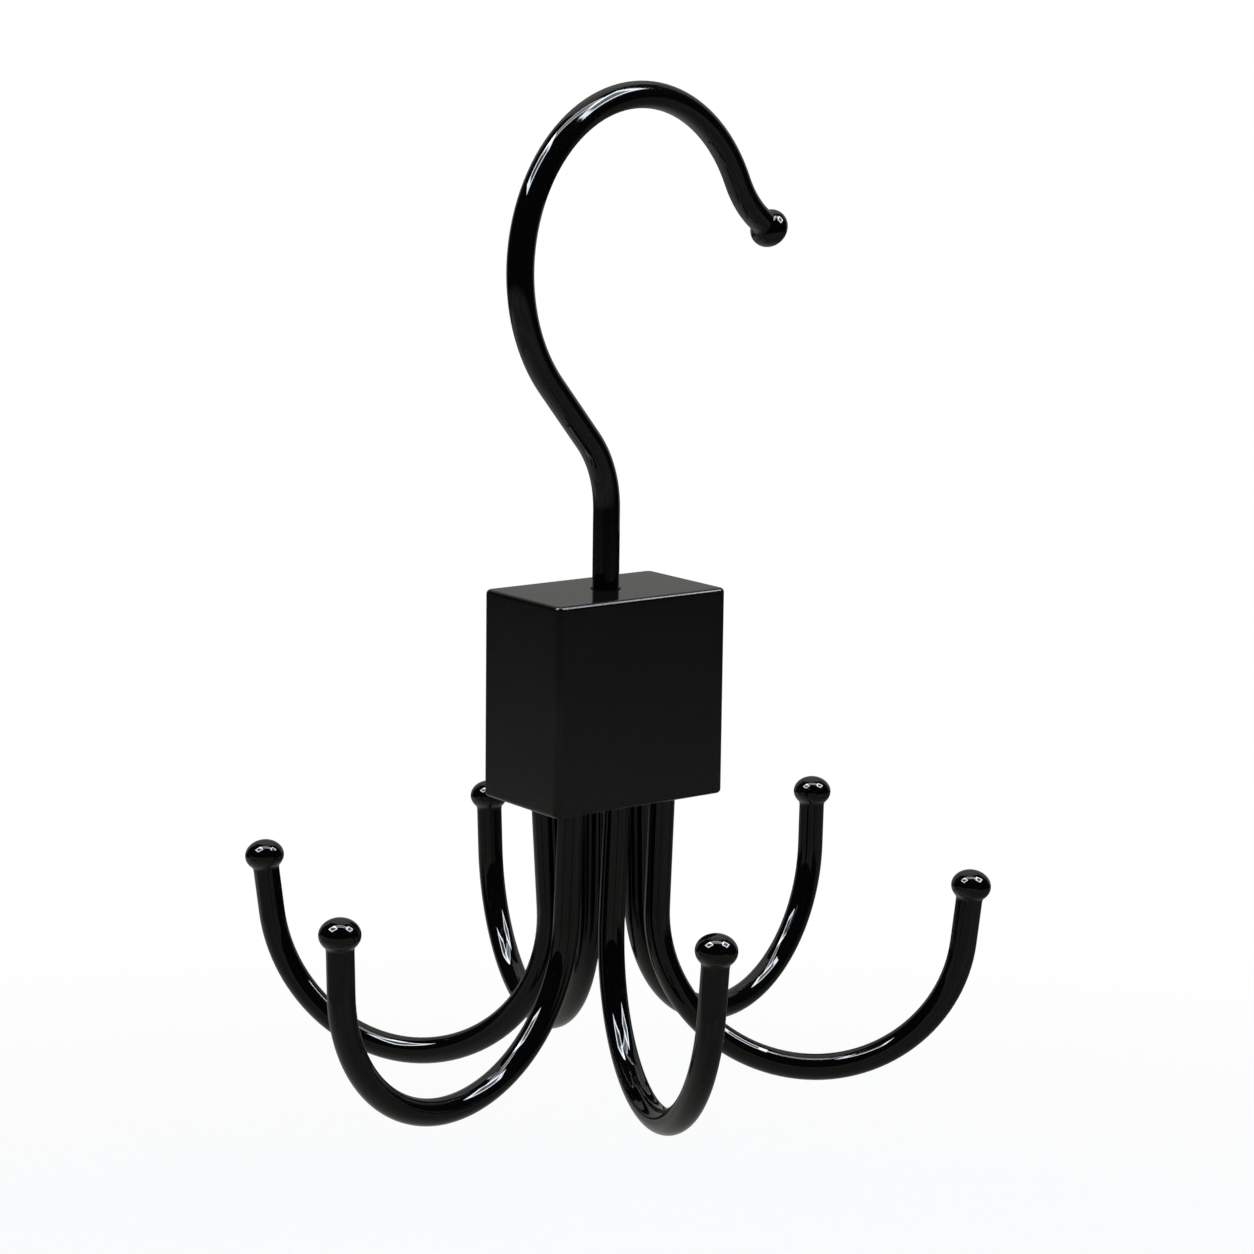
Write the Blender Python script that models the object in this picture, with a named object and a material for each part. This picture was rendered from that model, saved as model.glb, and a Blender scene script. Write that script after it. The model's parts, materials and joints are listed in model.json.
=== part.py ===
"""Hanger for delicates: a swivelling wire hook, a small block and six J-shaped wire arms with ball tips.

The world origin is the point of the hook's crown that lies on the closet rod. The block's wide
face looks along -Y, the arms hang below the block, and lengths are metres.
"""
from dataclasses import dataclass
from math import asin, cos, pi, radians, sin, sqrt

import bmesh
import bpy
from mathutils import Matrix, Vector

# Running and seating clearance between neighbouring pieces
CLEARANCE = 0.0003
# How far a cutter runs past the surface that it leaves
OVERRUN = 0.0010

# Block housing, a moulded shell that is open below
BLOCK_WIDTH = 0.0479
BLOCK_DEPTH = 0.0294
BLOCK_HEIGHT = 0.0485
BLOCK_EDGE_RADIUS = 0.0020
SIDE_WALL = 0.0026
TOP_WALL = 0.0040
SHANK_HOLE_LIP = 0.0010
SHANK_HOLE_PLAY = 0.0004
CAVITY_EDGE_RADIUS = 0.0008

# Base plate that closes the housing
PLATE_THICKNESS = 0.0030
PLATE_RECESS = 0.0006

# Arm carrier, the moulded core that grips the six arms
SHANK_END_MARGIN = 0.0080
SHANK_SIDE_MARGIN = 0.0065
SWIVEL_ROOM = 0.0025
ARM_EMBED_SHARE = 0.72
PIN_HEIGHT_SHARE = 0.42

# Cross pins, one through each row of three arms
PIN_DIAMETER = 0.0025
PIN_END_CHAMFER = 0.0003

# Cover screws, with hexagonal sockets
SCREW_DIAMETER = 0.0030
SCREW_HEAD_DIAMETER = 0.0050
SCREW_HEAD_HEIGHT = 0.0018
SCREW_SOCKET_WIDTH = 0.0024
SCREW_SOCKET_DEPTH = 0.0010
SCREW_BITE = 0.0070
BOSS_WALL = 0.0017
BOSS_MERGE = 0.0004

# Arms: wire, drop below the block, two bends and a straight end
ARM_WIRE_DIAMETER = 0.0060
ARM_DROP = 0.0272
ARM_LOWER_BEND_RADIUS = 0.0371
ARM_OUTER_BEND_RADIUS = 0.0350
ARM_END_RISE = radians(85.9)
ARM_TAIL = 0.0137

# Top hook: wire, straight shank, S-bend, loop and flared tip
HOOK_WIRE_DIAMETER = 0.0062
HOOK_SHANK = 0.0185
HOOK_SWAN_RADIUS = 0.0241
HOOK_SWAN_ANGLE = radians(42.5)
HOOK_SLANT = 0.0181
HOOK_LOOP_RADIUS = 0.0381
HOOK_LOOP_ANGLE = radians(195.2)
HOOK_FLARE_RADIUS = 0.0244
HOOK_FLARE_ANGLE = radians(28.5)
HOOK_TAIL = 0.0044
HOOK_TURN = radians(10.1)

# Ball tips: flattened balls pressed on the wires' turned-down ends
ARM_TIP_DIAMETER = 0.0092
HOOK_TIP_DIAMETER = 0.0094
TIP_LENGTH_SHARE = 0.81
SPIGOT_DIAMETER_SHARE = 0.56
SPIGOT_LENGTH_SHARE = 0.45

# Swivel: flanged bush in the top wall, washer and lock nut on the hook's threaded end
BUSH_WALL = 0.0012
BUSH_FLANGE_WIDTH = 0.0019
BUSH_FLANGE_THICKNESS = 0.0012
THREAD_DIAMETER = 0.0048
THREAD_PROUD = 0.0010
WASHER_DIAMETER = 0.0125
WASHER_THICKNESS = 0.0012
NUT_WIDTH = 0.0080
NUT_HEIGHT = 0.0045
NUT_COLLAR_DIAMETER = 0.0072
NUT_COLLAR_HEIGHT = 0.0012

# Facets
WIRE_SIDES = 16
TURNED_SIDES = 24
TIP_SIDES = 20
TIP_PROFILE_STEPS = 7
HOLE_SIDES = 16
BEND_STEP = radians(11.25)


@dataclass(frozen=True)
class ArmSetting:
    """Where an arm stands in the carrier's grid and how it was bent and set."""
    name: str
    column: int
    row: int
    heading: float
    lean: float
    side: float
    depth_share: float


# Columns and rows count from the block's middle; depth is a share of the wire's diameter
ARMS = (
    ArmSetting("front_right", 1, -1, radians(-40.0), radians(-1.6), radians(0.2), -0.10),
    ArmSetting("rear_right", 1, 1, radians(15.3), radians(1.9), radians(-0.7), 0.08),
    ArmSetting("rear_middle", 0, 1, radians(74.1), radians(0.1), radians(-0.5), 0.02),
    ArmSetting("rear_left", -1, 1, radians(122.8), radians(-3.0), radians(-1.2), 0.13),
    ArmSetting("front_left", -1, -1, radians(-168.0), radians(2.0), radians(-0.6), 0.00),
    ArmSetting("front_middle", 0, -1, radians(-109.4), radians(2.1), radians(-2.6), -0.10),
)

# Sizes that follow from the ones above
CAVITY_WIDTH = BLOCK_WIDTH - 2 * SIDE_WALL
CAVITY_DEPTH = BLOCK_DEPTH - 2 * SIDE_WALL
CORE_WIDTH = CAVITY_WIDTH - 2 * CLEARANCE
CORE_DEPTH = CAVITY_DEPTH - 2 * CLEARANCE
SHANK_COLUMN = CORE_WIDTH / 2 - SHANK_END_MARGIN
SHANK_ROW = CORE_DEPTH / 2 - SHANK_SIDE_MARGIN
HOOK_RADIUS = HOOK_WIRE_DIAMETER / 2
BUSH_BORE_RADIUS = HOOK_RADIUS + CLEARANCE
BUSH_RADIUS = BUSH_BORE_RADIUS + BUSH_WALL
BUSH_FLANGE_RADIUS = BUSH_RADIUS + BUSH_FLANGE_WIDTH
BOSS_RADIUS = SCREW_DIAMETER / 2 + BOSS_WALL
SCREW_OFFSET = CAVITY_WIDTH / 2 - BOSS_RADIUS + BOSS_MERGE


def crown():
    """In-plane place of the loop's centre, measured from the shank's axis at the block's top."""
    swan_x = HOOK_SWAN_RADIUS * (1 - cos(HOOK_SWAN_ANGLE))
    swan_z = HOOK_SWAN_RADIUS * sin(HOOK_SWAN_ANGLE)
    centre_x = HOOK_LOOP_RADIUS * cos(HOOK_SWAN_ANGLE) - HOOK_SLANT * sin(HOOK_SWAN_ANGLE) - swan_x
    centre_z = (HOOK_SHANK + swan_z + HOOK_SLANT * cos(HOOK_SWAN_ANGLE)
                + HOOK_LOOP_RADIUS * sin(HOOK_SWAN_ANGLE))
    return centre_x, centre_z


CROWN_X, CROWN_Z = crown()
# Heights of the block's faces and of the stack inside it, from the top down
BLOCK_TOP = -(CROWN_Z + HOOK_LOOP_RADIUS - HOOK_RADIUS)
BLOCK_BOTTOM = BLOCK_TOP - BLOCK_HEIGHT
CAVITY_TOP = BLOCK_TOP - TOP_WALL
FLANGE_TOP = CAVITY_TOP - CLEARANCE
WASHER_TOP = FLANGE_TOP - BUSH_FLANGE_THICKNESS - CLEARANCE
NUT_TOP = WASHER_TOP - WASHER_THICKNESS - CLEARANCE
THREAD_END = NUT_TOP - NUT_HEIGHT - NUT_COLLAR_HEIGHT - THREAD_PROUD
PLATE_BOTTOM = BLOCK_BOTTOM + PLATE_RECESS
PLATE_TOP = PLATE_BOTTOM + PLATE_THICKNESS
CORE_BOTTOM = PLATE_TOP + CLEARANCE
CORE_TOP = THREAD_END - SWIVEL_ROOM
ARM_EMBED = PLATE_THICKNESS + PLATE_RECESS + (CORE_TOP - CORE_BOTTOM) * ARM_EMBED_SHARE
PIN_LEVEL = CORE_BOTTOM + (CORE_TOP - CORE_BOTTOM) * PIN_HEIGHT_SHARE
# The shank's axis, which is the swivel's axis, in plan
AXIS_X = -CROWN_X * cos(HOOK_TURN)
AXIS_Y = -CROWN_X * sin(HOOK_TURN)


def clear_scene():
    """Removes every object that the file holds."""
    for old in list(bpy.data.objects):
        bpy.data.objects.remove(old, do_unlink=True)


def make_material(name, colour, roughness, metallic):
    """A Principled material with one colour, roughness and metallic value."""
    material = bpy.data.materials.new(name)
    material.use_nodes = True
    shader = material.node_tree.nodes["Principled BSDF"]
    shader.inputs["Base Color"].default_value = (*colour, 1.0)
    shader.inputs["Roughness"].default_value = roughness
    shader.inputs["Metallic"].default_value = metallic
    return material


def add_object(name, bm, material, parent, place=(0.0, 0.0, 0.0), turn=0.0):
    """Turns a bmesh into a named object with its material, place and turn about Z."""
    bmesh.ops.recalc_face_normals(bm, faces=bm.faces)
    mesh = bpy.data.meshes.new(name)
    bm.to_mesh(mesh)
    bm.free()
    mesh.shade_smooth()
    mesh.set_sharp_from_angle(angle=radians(35))
    mesh.materials.append(material)
    piece = bpy.data.objects.new(name, mesh)
    bpy.context.scene.collection.objects.link(piece)
    piece.parent = parent
    piece.location = place
    piece.rotation_euler.z = turn
    return piece


def add_guide(name, bm, parent, place=(0.0, 0.0, 0.0)):
    """A shape that only cuts or joins: drawn as wires and not rendered."""
    bmesh.ops.recalc_face_normals(bm, faces=bm.faces)
    mesh = bpy.data.meshes.new(name)
    bm.to_mesh(mesh)
    bm.free()
    guide = bpy.data.objects.new(name, mesh)
    bpy.context.scene.collection.objects.link(guide)
    guide.parent = parent
    guide.location = place
    guide.hide_render = True
    guide.display_type = "WIRE"
    return guide


def combine(piece, guide, operation):
    """Adds an exact Boolean of a guide to a piece."""
    step = piece.modifiers.new(guide.name, "BOOLEAN")
    step.operation = operation
    step.object = guide
    step.solver = "EXACT"


def rounded_box(width, depth, bottom, top, radius, segments):
    """A box centred in plan, from one height to another, with all its edges rounded."""
    bm = bmesh.new()
    bmesh.ops.create_cube(bm, size=1.0)
    bmesh.ops.scale(bm, vec=(width, depth, top - bottom), verts=bm.verts)
    bmesh.ops.translate(bm, vec=(0.0, 0.0, (top + bottom) / 2), verts=bm.verts)
    bmesh.ops.bevel(bm, geom=list(bm.edges), offset=radius, offset_type="OFFSET", segments=segments,
                    affect="EDGES", profile=0.5, material=-1)
    return bm


def revolve(profile, sides):
    """Turns a profile of (radius, height) points about Z; a profile on the axis closes there."""
    bm = bmesh.new()
    verts = [bm.verts.new((radius, 0.0, height)) for radius, height in profile]
    edges = [bm.edges.new(pair) for pair in zip(verts, verts[1:])]
    if profile[0][0] > 0 and profile[-1][0] > 0:
        edges.append(bm.edges.new((verts[-1], verts[0])))
    bmesh.ops.spin(bm, geom=verts + edges, cent=(0.0, 0.0, 0.0), axis=(0.0, 0.0, 1.0),
                   dvec=(0.0, 0.0, 0.0), angle=2 * pi, steps=sides, use_merge=True, use_duplicate=False)
    bmesh.ops.remove_doubles(bm, verts=bm.verts, dist=CLEARANCE / 1000)
    return bm


def rod(radius, bottom, top, sides):
    """A plain round bar along Z."""
    bm = bmesh.new()
    bmesh.ops.create_cone(bm, cap_ends=True, cap_tris=False, segments=sides, radius1=radius, radius2=radius,
                          depth=top - bottom)
    bmesh.ops.translate(bm, vec=(0.0, 0.0, (top + bottom) / 2), verts=bm.verts)
    return bm


def hexagon_bar(width, bottom, top):
    """A six-sided bar along Z, given across its flats."""
    bm = bmesh.new()
    bmesh.ops.create_circle(bm, cap_ends=True, radius=width / 2 / cos(pi / 6), segments=6)
    bmesh.ops.translate(bm, vec=(0.0, 0.0, bottom), verts=bm.verts)
    raised = bmesh.ops.extrude_face_region(bm, geom=list(bm.faces))["geom"]
    raised_verts = [part for part in raised if isinstance(part, bmesh.types.BMVert)]
    bmesh.ops.translate(bm, vec=(0.0, 0.0, top - bottom), verts=raised_verts)
    return bm


def merge_into(bm, other):
    """Moves another bmesh's geometry into this one."""
    scratch = bpy.data.meshes.new("scratch")
    other.to_mesh(scratch)
    other.free()
    bm.from_mesh(scratch)
    bpy.data.meshes.remove(scratch)


class WireBender:
    """Draws a round wire in the XZ plane the way a bending machine does: feed, bend, turn down."""

    def __init__(self, radius, start, heading):
        """Starts with the wire's first end; the heading is an angle from +X towards +Z."""
        self.bm = bmesh.new()
        self.place = Vector(start)
        self.heading = heading
        disc = bmesh.ops.create_circle(self.bm, cap_ends=True, radius=radius, segments=WIRE_SIDES)
        stand = Matrix.Translation(self.place) @ Matrix.Rotation(pi / 2 - heading, 4, "Y")
        bmesh.ops.transform(self.bm, matrix=stand, verts=disc["verts"])
        self.end = next(iter(self.bm.faces))

    def direction(self):
        """Unit vector along which the wire runs now."""
        return Vector((cos(self.heading), 0.0, sin(self.heading)))

    def end_geometry(self):
        """The wire's end face with its edges and corners."""
        return list(self.end.verts) + list(self.end.edges) + [self.end]

    def feed(self, length):
        """Runs the wire straight on."""
        grown = bmesh.ops.extrude_face_region(self.bm, geom=self.end_geometry())["geom"]
        verts = [part for part in grown if isinstance(part, bmesh.types.BMVert)]
        self.end = next(part for part in grown if isinstance(part, bmesh.types.BMFace))
        bmesh.ops.translate(self.bm, vec=self.direction() * length, verts=verts)
        self.place += self.direction() * length

    def bend(self, radius, angle):
        """Bends the wire in its plane; a positive angle turns it from +X towards +Z."""
        left = Vector((-sin(self.heading), 0.0, cos(self.heading)))
        centre = self.place + left * (radius if angle > 0 else -radius)
        turned = bmesh.ops.spin(self.bm, geom=self.end_geometry(), cent=centre, axis=(0.0, 1.0, 0.0),
                                dvec=(0.0, 0.0, 0.0), angle=-angle, steps=max(2, round(abs(angle) / BEND_STEP)),
                                use_merge=False, use_duplicate=False)["geom_last"]
        self.end = next(part for part in turned if isinstance(part, bmesh.types.BMFace))
        self.place = centre + Matrix.Rotation(-angle, 3, "Y") @ (self.place - centre)
        self.heading += angle

    def turn_down(self, share, length):
        """Steps the wire down to a share of its thickness and runs that spigot on."""
        self.feed(0.0)
        for vert in self.end.verts:
            vert.co = self.place + (vert.co - self.place) * share
        self.feed(length)


def tip_neck(wire_diameter, tip_diameter):
    """Distance from a ball tip's middle to the flat where the wire meets it."""
    ratio = wire_diameter / tip_diameter
    return tip_diameter / 2 * TIP_LENGTH_SHARE * sqrt(1 - ratio * ratio)


def shank_places():
    """Plan places of the six arms' shanks, from the block's middle."""
    return [(arm.column * SHANK_COLUMN, arm.row * SHANK_ROW) for arm in ARMS]


def screw_places():
    """Plan places of the two cover screws, from the block's middle."""
    return [(-SCREW_OFFSET, 0.0), (SCREW_OFFSET, 0.0)]


def round_bars(places, radius, bottom, top, sides):
    """Upright round bars at several places, as one mesh of separate bodies."""
    bm = bmesh.new()
    for x, y in places:
        bar = rod(radius, bottom, top, sides)
        bmesh.ops.translate(bar, vec=(x, y, 0.0), verts=bar.verts)
        merge_into(bm, bar)
    return bm


def build_housing(materials, parent):
    """Moulded shell with rounded edges, a stepped hole for the swivel and two screw bosses."""
    housing = add_object("block_housing", rounded_box(BLOCK_WIDTH, BLOCK_DEPTH, BLOCK_BOTTOM, BLOCK_TOP,
                                                      BLOCK_EDGE_RADIUS, 3), materials["housing"], parent)
    cavity = rounded_box(CAVITY_WIDTH, CAVITY_DEPTH, BLOCK_BOTTOM - BLOCK_HEIGHT / 2, CAVITY_TOP,
                         CAVITY_EDGE_RADIUS, 1)
    combine(housing, add_guide("guide_cavity", cavity, parent), "DIFFERENCE")
    boss_bottom = CORE_TOP + CLEARANCE
    bosses = round_bars(screw_places(), BOSS_RADIUS, boss_bottom, CAVITY_TOP + TOP_WALL / 2, HOLE_SIDES)
    combine(housing, add_guide("guide_bosses", bosses, parent), "UNION")
    pilots = round_bars(screw_places(), SCREW_DIAMETER / 2 + CLEARANCE, boss_bottom - OVERRUN,
                        boss_bottom + SCREW_BITE + CLEARANCE, HOLE_SIDES)
    combine(housing, add_guide("guide_pilots", pilots, parent), "DIFFERENCE")
    lip = BLOCK_TOP - SHANK_HOLE_LIP
    hole_radius = HOOK_RADIUS + SHANK_HOLE_PLAY
    seat_radius = BUSH_RADIUS + CLEARANCE
    hole = revolve([(0.0, CAVITY_TOP - OVERRUN), (seat_radius, CAVITY_TOP - OVERRUN), (seat_radius, lip),
                    (hole_radius, lip), (hole_radius, BLOCK_TOP + OVERRUN), (0.0, BLOCK_TOP + OVERRUN)],
                   TURNED_SIDES)
    combine(housing, add_guide("guide_shank_hole", hole, parent), "DIFFERENCE")
    return housing


def build_base_plate(materials, parent):
    """Inset cover under the housing, with six arm holes and two counterbored screw holes."""
    plate = add_object("base_plate", rounded_box(CORE_WIDTH, CORE_DEPTH, PLATE_BOTTOM, PLATE_TOP,
                                                 CAVITY_EDGE_RADIUS, 1), materials["housing"], parent)
    arm_holes = round_bars(shank_places(), ARM_WIRE_DIAMETER / 2 + CLEARANCE, PLATE_BOTTOM - OVERRUN,
                            PLATE_TOP + OVERRUN, HOLE_SIDES)
    combine(plate, add_guide("guide_plate_arm_holes", arm_holes, parent), "DIFFERENCE")
    screw_holes = round_bars(screw_places(), SCREW_DIAMETER / 2 + CLEARANCE, PLATE_BOTTOM - OVERRUN,
                              PLATE_TOP + OVERRUN, HOLE_SIDES)
    combine(plate, add_guide("guide_plate_screw_holes", screw_holes, parent), "DIFFERENCE")
    counterbores = round_bars(screw_places(), SCREW_HEAD_DIAMETER / 2 + CLEARANCE, PLATE_BOTTOM - OVERRUN,
                               PLATE_BOTTOM + SCREW_HEAD_HEIGHT, HOLE_SIDES)
    combine(plate, add_guide("guide_plate_counterbores", counterbores, parent), "DIFFERENCE")
    return plate


def build_carrier(materials, parent):
    """Moulded core with six blind sockets, two cross holes and two screw holes."""
    carrier = add_object("arm_carrier", rounded_box(CORE_WIDTH, CORE_DEPTH, CORE_BOTTOM, CORE_TOP,
                                                    CAVITY_EDGE_RADIUS, 1), materials["carrier"], parent)
    socket_top = BLOCK_BOTTOM + ARM_EMBED + ARM_WIRE_DIAMETER / 3
    sockets = round_bars(shank_places(), ARM_WIRE_DIAMETER / 2 + CLEARANCE, CORE_BOTTOM - OVERRUN,
                          socket_top, HOLE_SIDES)
    combine(carrier, add_guide("guide_sockets", sockets, parent), "DIFFERENCE")
    screw_holes = round_bars(screw_places(), SCREW_DIAMETER / 2 + CLEARANCE, CORE_BOTTOM - OVERRUN,
                              CORE_TOP + OVERRUN, HOLE_SIDES)
    combine(carrier, add_guide("guide_core_screw_holes", screw_holes, parent), "DIFFERENCE")
    return carrier


def cross_bar(radius, half_length, sides):
    """A plain round bar along X, centred."""
    bar = rod(radius, -half_length, half_length, sides)
    bmesh.ops.rotate(bar, cent=(0.0, 0.0, 0.0), matrix=Matrix.Rotation(pi / 2, 3, "Y"), verts=bar.verts)
    return bar


def build_cross_pins(materials, parent, drilled):
    """A pin through each row of shanks and the carrier, with its ends chamfered."""
    radius = PIN_DIAMETER / 2
    half = CORE_WIDTH / 2 - CLEARANCE
    for row, name in ((-1, "front"), (1, "rear")):
        place = (0.0, row * SHANK_ROW, PIN_LEVEL)
        hole = cross_bar(radius + CLEARANCE, CORE_WIDTH / 2 + OVERRUN, HOLE_SIDES)
        guide = add_guide(f"guide_pin_hole_{name}", hole, parent, place)
        for piece in drilled[row]:
            combine(piece, guide, "DIFFERENCE")
        pin = revolve([(0.0, -half), (radius - PIN_END_CHAMFER, -half), (radius, PIN_END_CHAMFER - half),
                       (radius, half - PIN_END_CHAMFER), (radius - PIN_END_CHAMFER, half), (0.0, half)],
                      HOLE_SIDES)
        bmesh.ops.rotate(pin, cent=(0.0, 0.0, 0.0), matrix=Matrix.Rotation(pi / 2, 3, "Y"), verts=pin.verts)
        add_object(f"cross_pin_{name}", pin, materials["steel"], parent, place)


def build_screws(materials, parent):
    """Two cap screws that hold the plate and the carrier up against the housing's bosses."""
    head_top = PLATE_BOTTOM + SCREW_HEAD_HEIGHT - CLEARANCE
    head_bottom = head_top - SCREW_HEAD_HEIGHT
    tip = CORE_TOP + CLEARANCE + SCREW_BITE
    radius = SCREW_DIAMETER / 2
    for (x, y), name in zip(screw_places(), ("left", "right")):
        profile = [(0.0, head_bottom), (SCREW_HEAD_DIAMETER / 2, head_bottom), (SCREW_HEAD_DIAMETER / 2, head_top),
                   (radius, head_top), (radius, tip - radius / 2), (radius / 2, tip), (0.0, tip)]
        screw = add_object(f"cover_screw_{name}", revolve(profile, HOLE_SIDES), materials["steel"], parent,
                           (x, y, 0.0))
        socket = hexagon_bar(SCREW_SOCKET_WIDTH, head_bottom - OVERRUN, head_bottom + SCREW_SOCKET_DEPTH)
        guide = add_guide(f"guide_screw_socket_{name}", socket, parent, (x, y, 0.0))
        combine(screw, guide, "DIFFERENCE")


def build_arm(setting, materials, parent):
    """One J-shaped arm: upright in its socket, then dropped, bent out and bent up to its tip."""
    radius = ARM_WIRE_DIAMETER / 2
    wire = WireBender(radius, (0.0, 0.0, ARM_EMBED), -pi / 2)
    wire.feed(ARM_EMBED)
    upright = set(wire.bm.verts)
    wire.feed(ARM_DROP)
    wire.bend(ARM_LOWER_BEND_RADIUS, pi / 2)
    wire.bend(ARM_OUTER_BEND_RADIUS, ARM_END_RISE)
    neck = tip_neck(ARM_WIRE_DIAMETER, ARM_TIP_DIAMETER)
    wire.feed(ARM_TAIL - neck - CLEARANCE)
    wire.turn_down(SPIGOT_DIAMETER_SHARE, CLEARANCE + ARM_TIP_DIAMETER * SPIGOT_LENGTH_SHARE)
    tilt = Matrix.Rotation(setting.side, 4, "X") @ Matrix.Rotation(-setting.lean, 4, "Y")
    bent = [vert for vert in wire.bm.verts if vert not in upright]
    bmesh.ops.transform(wire.bm, matrix=tilt, verts=bent)
    place = (setting.column * SHANK_COLUMN, setting.row * SHANK_ROW,
             BLOCK_BOTTOM + setting.depth_share * ARM_WIRE_DIAMETER)
    arm = add_object(f"arm_{setting.name}", wire.bm, materials["wire"], parent, place, setting.heading)
    return arm, tilt


def tip_profile(tip_diameter, wire_diameter):
    """Outline of a flattened ball with a flat and a blind bore for the spigot, nose at the top."""
    half = tip_diameter / 2
    start = asin(wire_diameter / tip_diameter)
    neck = tip_neck(wire_diameter, tip_diameter)
    bore = wire_diameter / 2 * SPIGOT_DIAMETER_SHARE + CLEARANCE
    bore_top = tip_diameter * SPIGOT_LENGTH_SHARE - neck + CLEARANCE
    points = [(0.0, bore_top), (bore, bore_top), (bore, -neck)]
    for step in range(TIP_PROFILE_STEPS + 1):
        angle = start + (pi - start) * step / TIP_PROFILE_STEPS
        points.append((half * sin(angle), -half * TIP_LENGTH_SHARE * cos(angle)))
    points[-1] = (0.0, points[-1][1])
    return points


def build_arm_tip(setting, tilt, materials, parent):
    """Ball tip on an arm's end, made in the arm's own frame so that it follows the arm's set."""
    tip = revolve(tip_profile(ARM_TIP_DIAMETER, ARM_WIRE_DIAMETER), TIP_SIDES)
    reach = ARM_LOWER_BEND_RADIUS + ARM_OUTER_BEND_RADIUS * sin(ARM_END_RISE) + ARM_TAIL * cos(ARM_END_RISE)
    level = (-ARM_DROP - ARM_LOWER_BEND_RADIUS + ARM_OUTER_BEND_RADIUS * (1 - cos(ARM_END_RISE))
             + ARM_TAIL * sin(ARM_END_RISE))
    stand = Matrix.Translation((reach, 0.0, level)) @ Matrix.Rotation(pi / 2 - ARM_END_RISE, 4, "Y")
    bmesh.ops.transform(tip, matrix=tilt @ stand, verts=tip.verts)
    place = (setting.column * SHANK_COLUMN, setting.row * SHANK_ROW,
             BLOCK_BOTTOM + setting.depth_share * ARM_WIRE_DIAMETER)
    add_object(f"tip_{setting.name}", tip, materials["tip"], parent, place, setting.heading)


def build_hook(materials, parent):
    """Top hook: threaded end, shank, S-bend, loop over the rod and a tip that flares outward."""
    shoulder = WASHER_TOP + CLEARANCE
    thread_share = THREAD_DIAMETER / HOOK_WIRE_DIAMETER
    wire = WireBender(THREAD_DIAMETER / 2, (0.0, 0.0, THREAD_END), pi / 2)
    wire.feed(shoulder - THREAD_END)
    wire.turn_down(1 / thread_share, BLOCK_TOP + HOOK_SHANK - shoulder)
    wire.bend(HOOK_SWAN_RADIUS, HOOK_SWAN_ANGLE)
    wire.feed(HOOK_SLANT)
    wire.bend(HOOK_LOOP_RADIUS, -HOOK_LOOP_ANGLE)
    wire.bend(HOOK_FLARE_RADIUS, HOOK_FLARE_ANGLE)
    neck = tip_neck(HOOK_WIRE_DIAMETER, HOOK_TIP_DIAMETER)
    wire.feed(HOOK_TAIL - neck - CLEARANCE)
    wire.turn_down(SPIGOT_DIAMETER_SHARE, CLEARANCE + HOOK_TIP_DIAMETER * SPIGOT_LENGTH_SHARE)
    end_heading = wire.heading
    spigot_end = wire.place
    tip_middle = spigot_end + wire.direction() * (neck - HOOK_TIP_DIAMETER * SPIGOT_LENGTH_SHARE)
    add_object("top_hook", wire.bm, materials["wire"], parent)
    tip = revolve(tip_profile(HOOK_TIP_DIAMETER, HOOK_WIRE_DIAMETER), TIP_SIDES)
    stand = Matrix.Translation(tip_middle) @ Matrix.Rotation(pi / 2 - end_heading, 4, "Y")
    bmesh.ops.transform(tip, matrix=stand, verts=tip.verts)
    add_object("hook_ball_tip", tip, materials["tip"], parent)


def build_bush(materials, parent):
    """Flanged bush in the top wall; its flange carries the block on the washer."""
    flange_bottom = FLANGE_TOP - BUSH_FLANGE_THICKNESS
    sleeve_top = BLOCK_TOP - SHANK_HOLE_LIP - CLEARANCE
    profile = [(BUSH_BORE_RADIUS, flange_bottom), (BUSH_FLANGE_RADIUS, flange_bottom),
               (BUSH_FLANGE_RADIUS, FLANGE_TOP), (BUSH_RADIUS, FLANGE_TOP), (BUSH_RADIUS, sleeve_top),
               (BUSH_BORE_RADIUS, sleeve_top)]
    add_object("swivel_bush", revolve(profile, TURNED_SIDES), materials["bush"], parent)


def build_washer(materials, parent):
    """Thrust washer that the hook's shoulder and the nut hold."""
    bore = THREAD_DIAMETER / 2 + CLEARANCE
    bottom = WASHER_TOP - WASHER_THICKNESS
    rim = WASHER_DIAMETER / 2
    profile = [(bore, bottom), (rim, bottom), (rim, WASHER_TOP), (bore, WASHER_TOP)]
    add_object("thrust_washer", revolve(profile, TURNED_SIDES), materials["steel"], parent)


def build_nut(materials, parent):
    """Hexagonal lock nut with a round collar below, bored for the hook's thread."""
    nut_bottom = NUT_TOP - NUT_HEIGHT
    nut = add_object("lock_nut", hexagon_bar(NUT_WIDTH, nut_bottom, NUT_TOP), materials["steel"], parent)
    collar = rod(NUT_COLLAR_DIAMETER / 2, nut_bottom - NUT_COLLAR_HEIGHT, nut_bottom + NUT_HEIGHT / 2,
                 TURNED_SIDES)
    combine(nut, add_guide("guide_nut_collar", collar, parent), "UNION")
    bore = rod(THREAD_DIAMETER / 2 + CLEARANCE, nut_bottom - NUT_COLLAR_HEIGHT - OVERRUN, NUT_TOP + OVERRUN,
               TURNED_SIDES)
    combine(nut, add_guide("guide_nut_bore", bore, parent), "DIFFERENCE")


def add_empty(name, place, turn, parent):
    """An empty that carries the pieces of one body."""
    empty = bpy.data.objects.new(name, None)
    bpy.context.scene.collection.objects.link(empty)
    empty.parent = parent
    empty.location = place
    empty.rotation_euler.z = turn
    return empty


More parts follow.
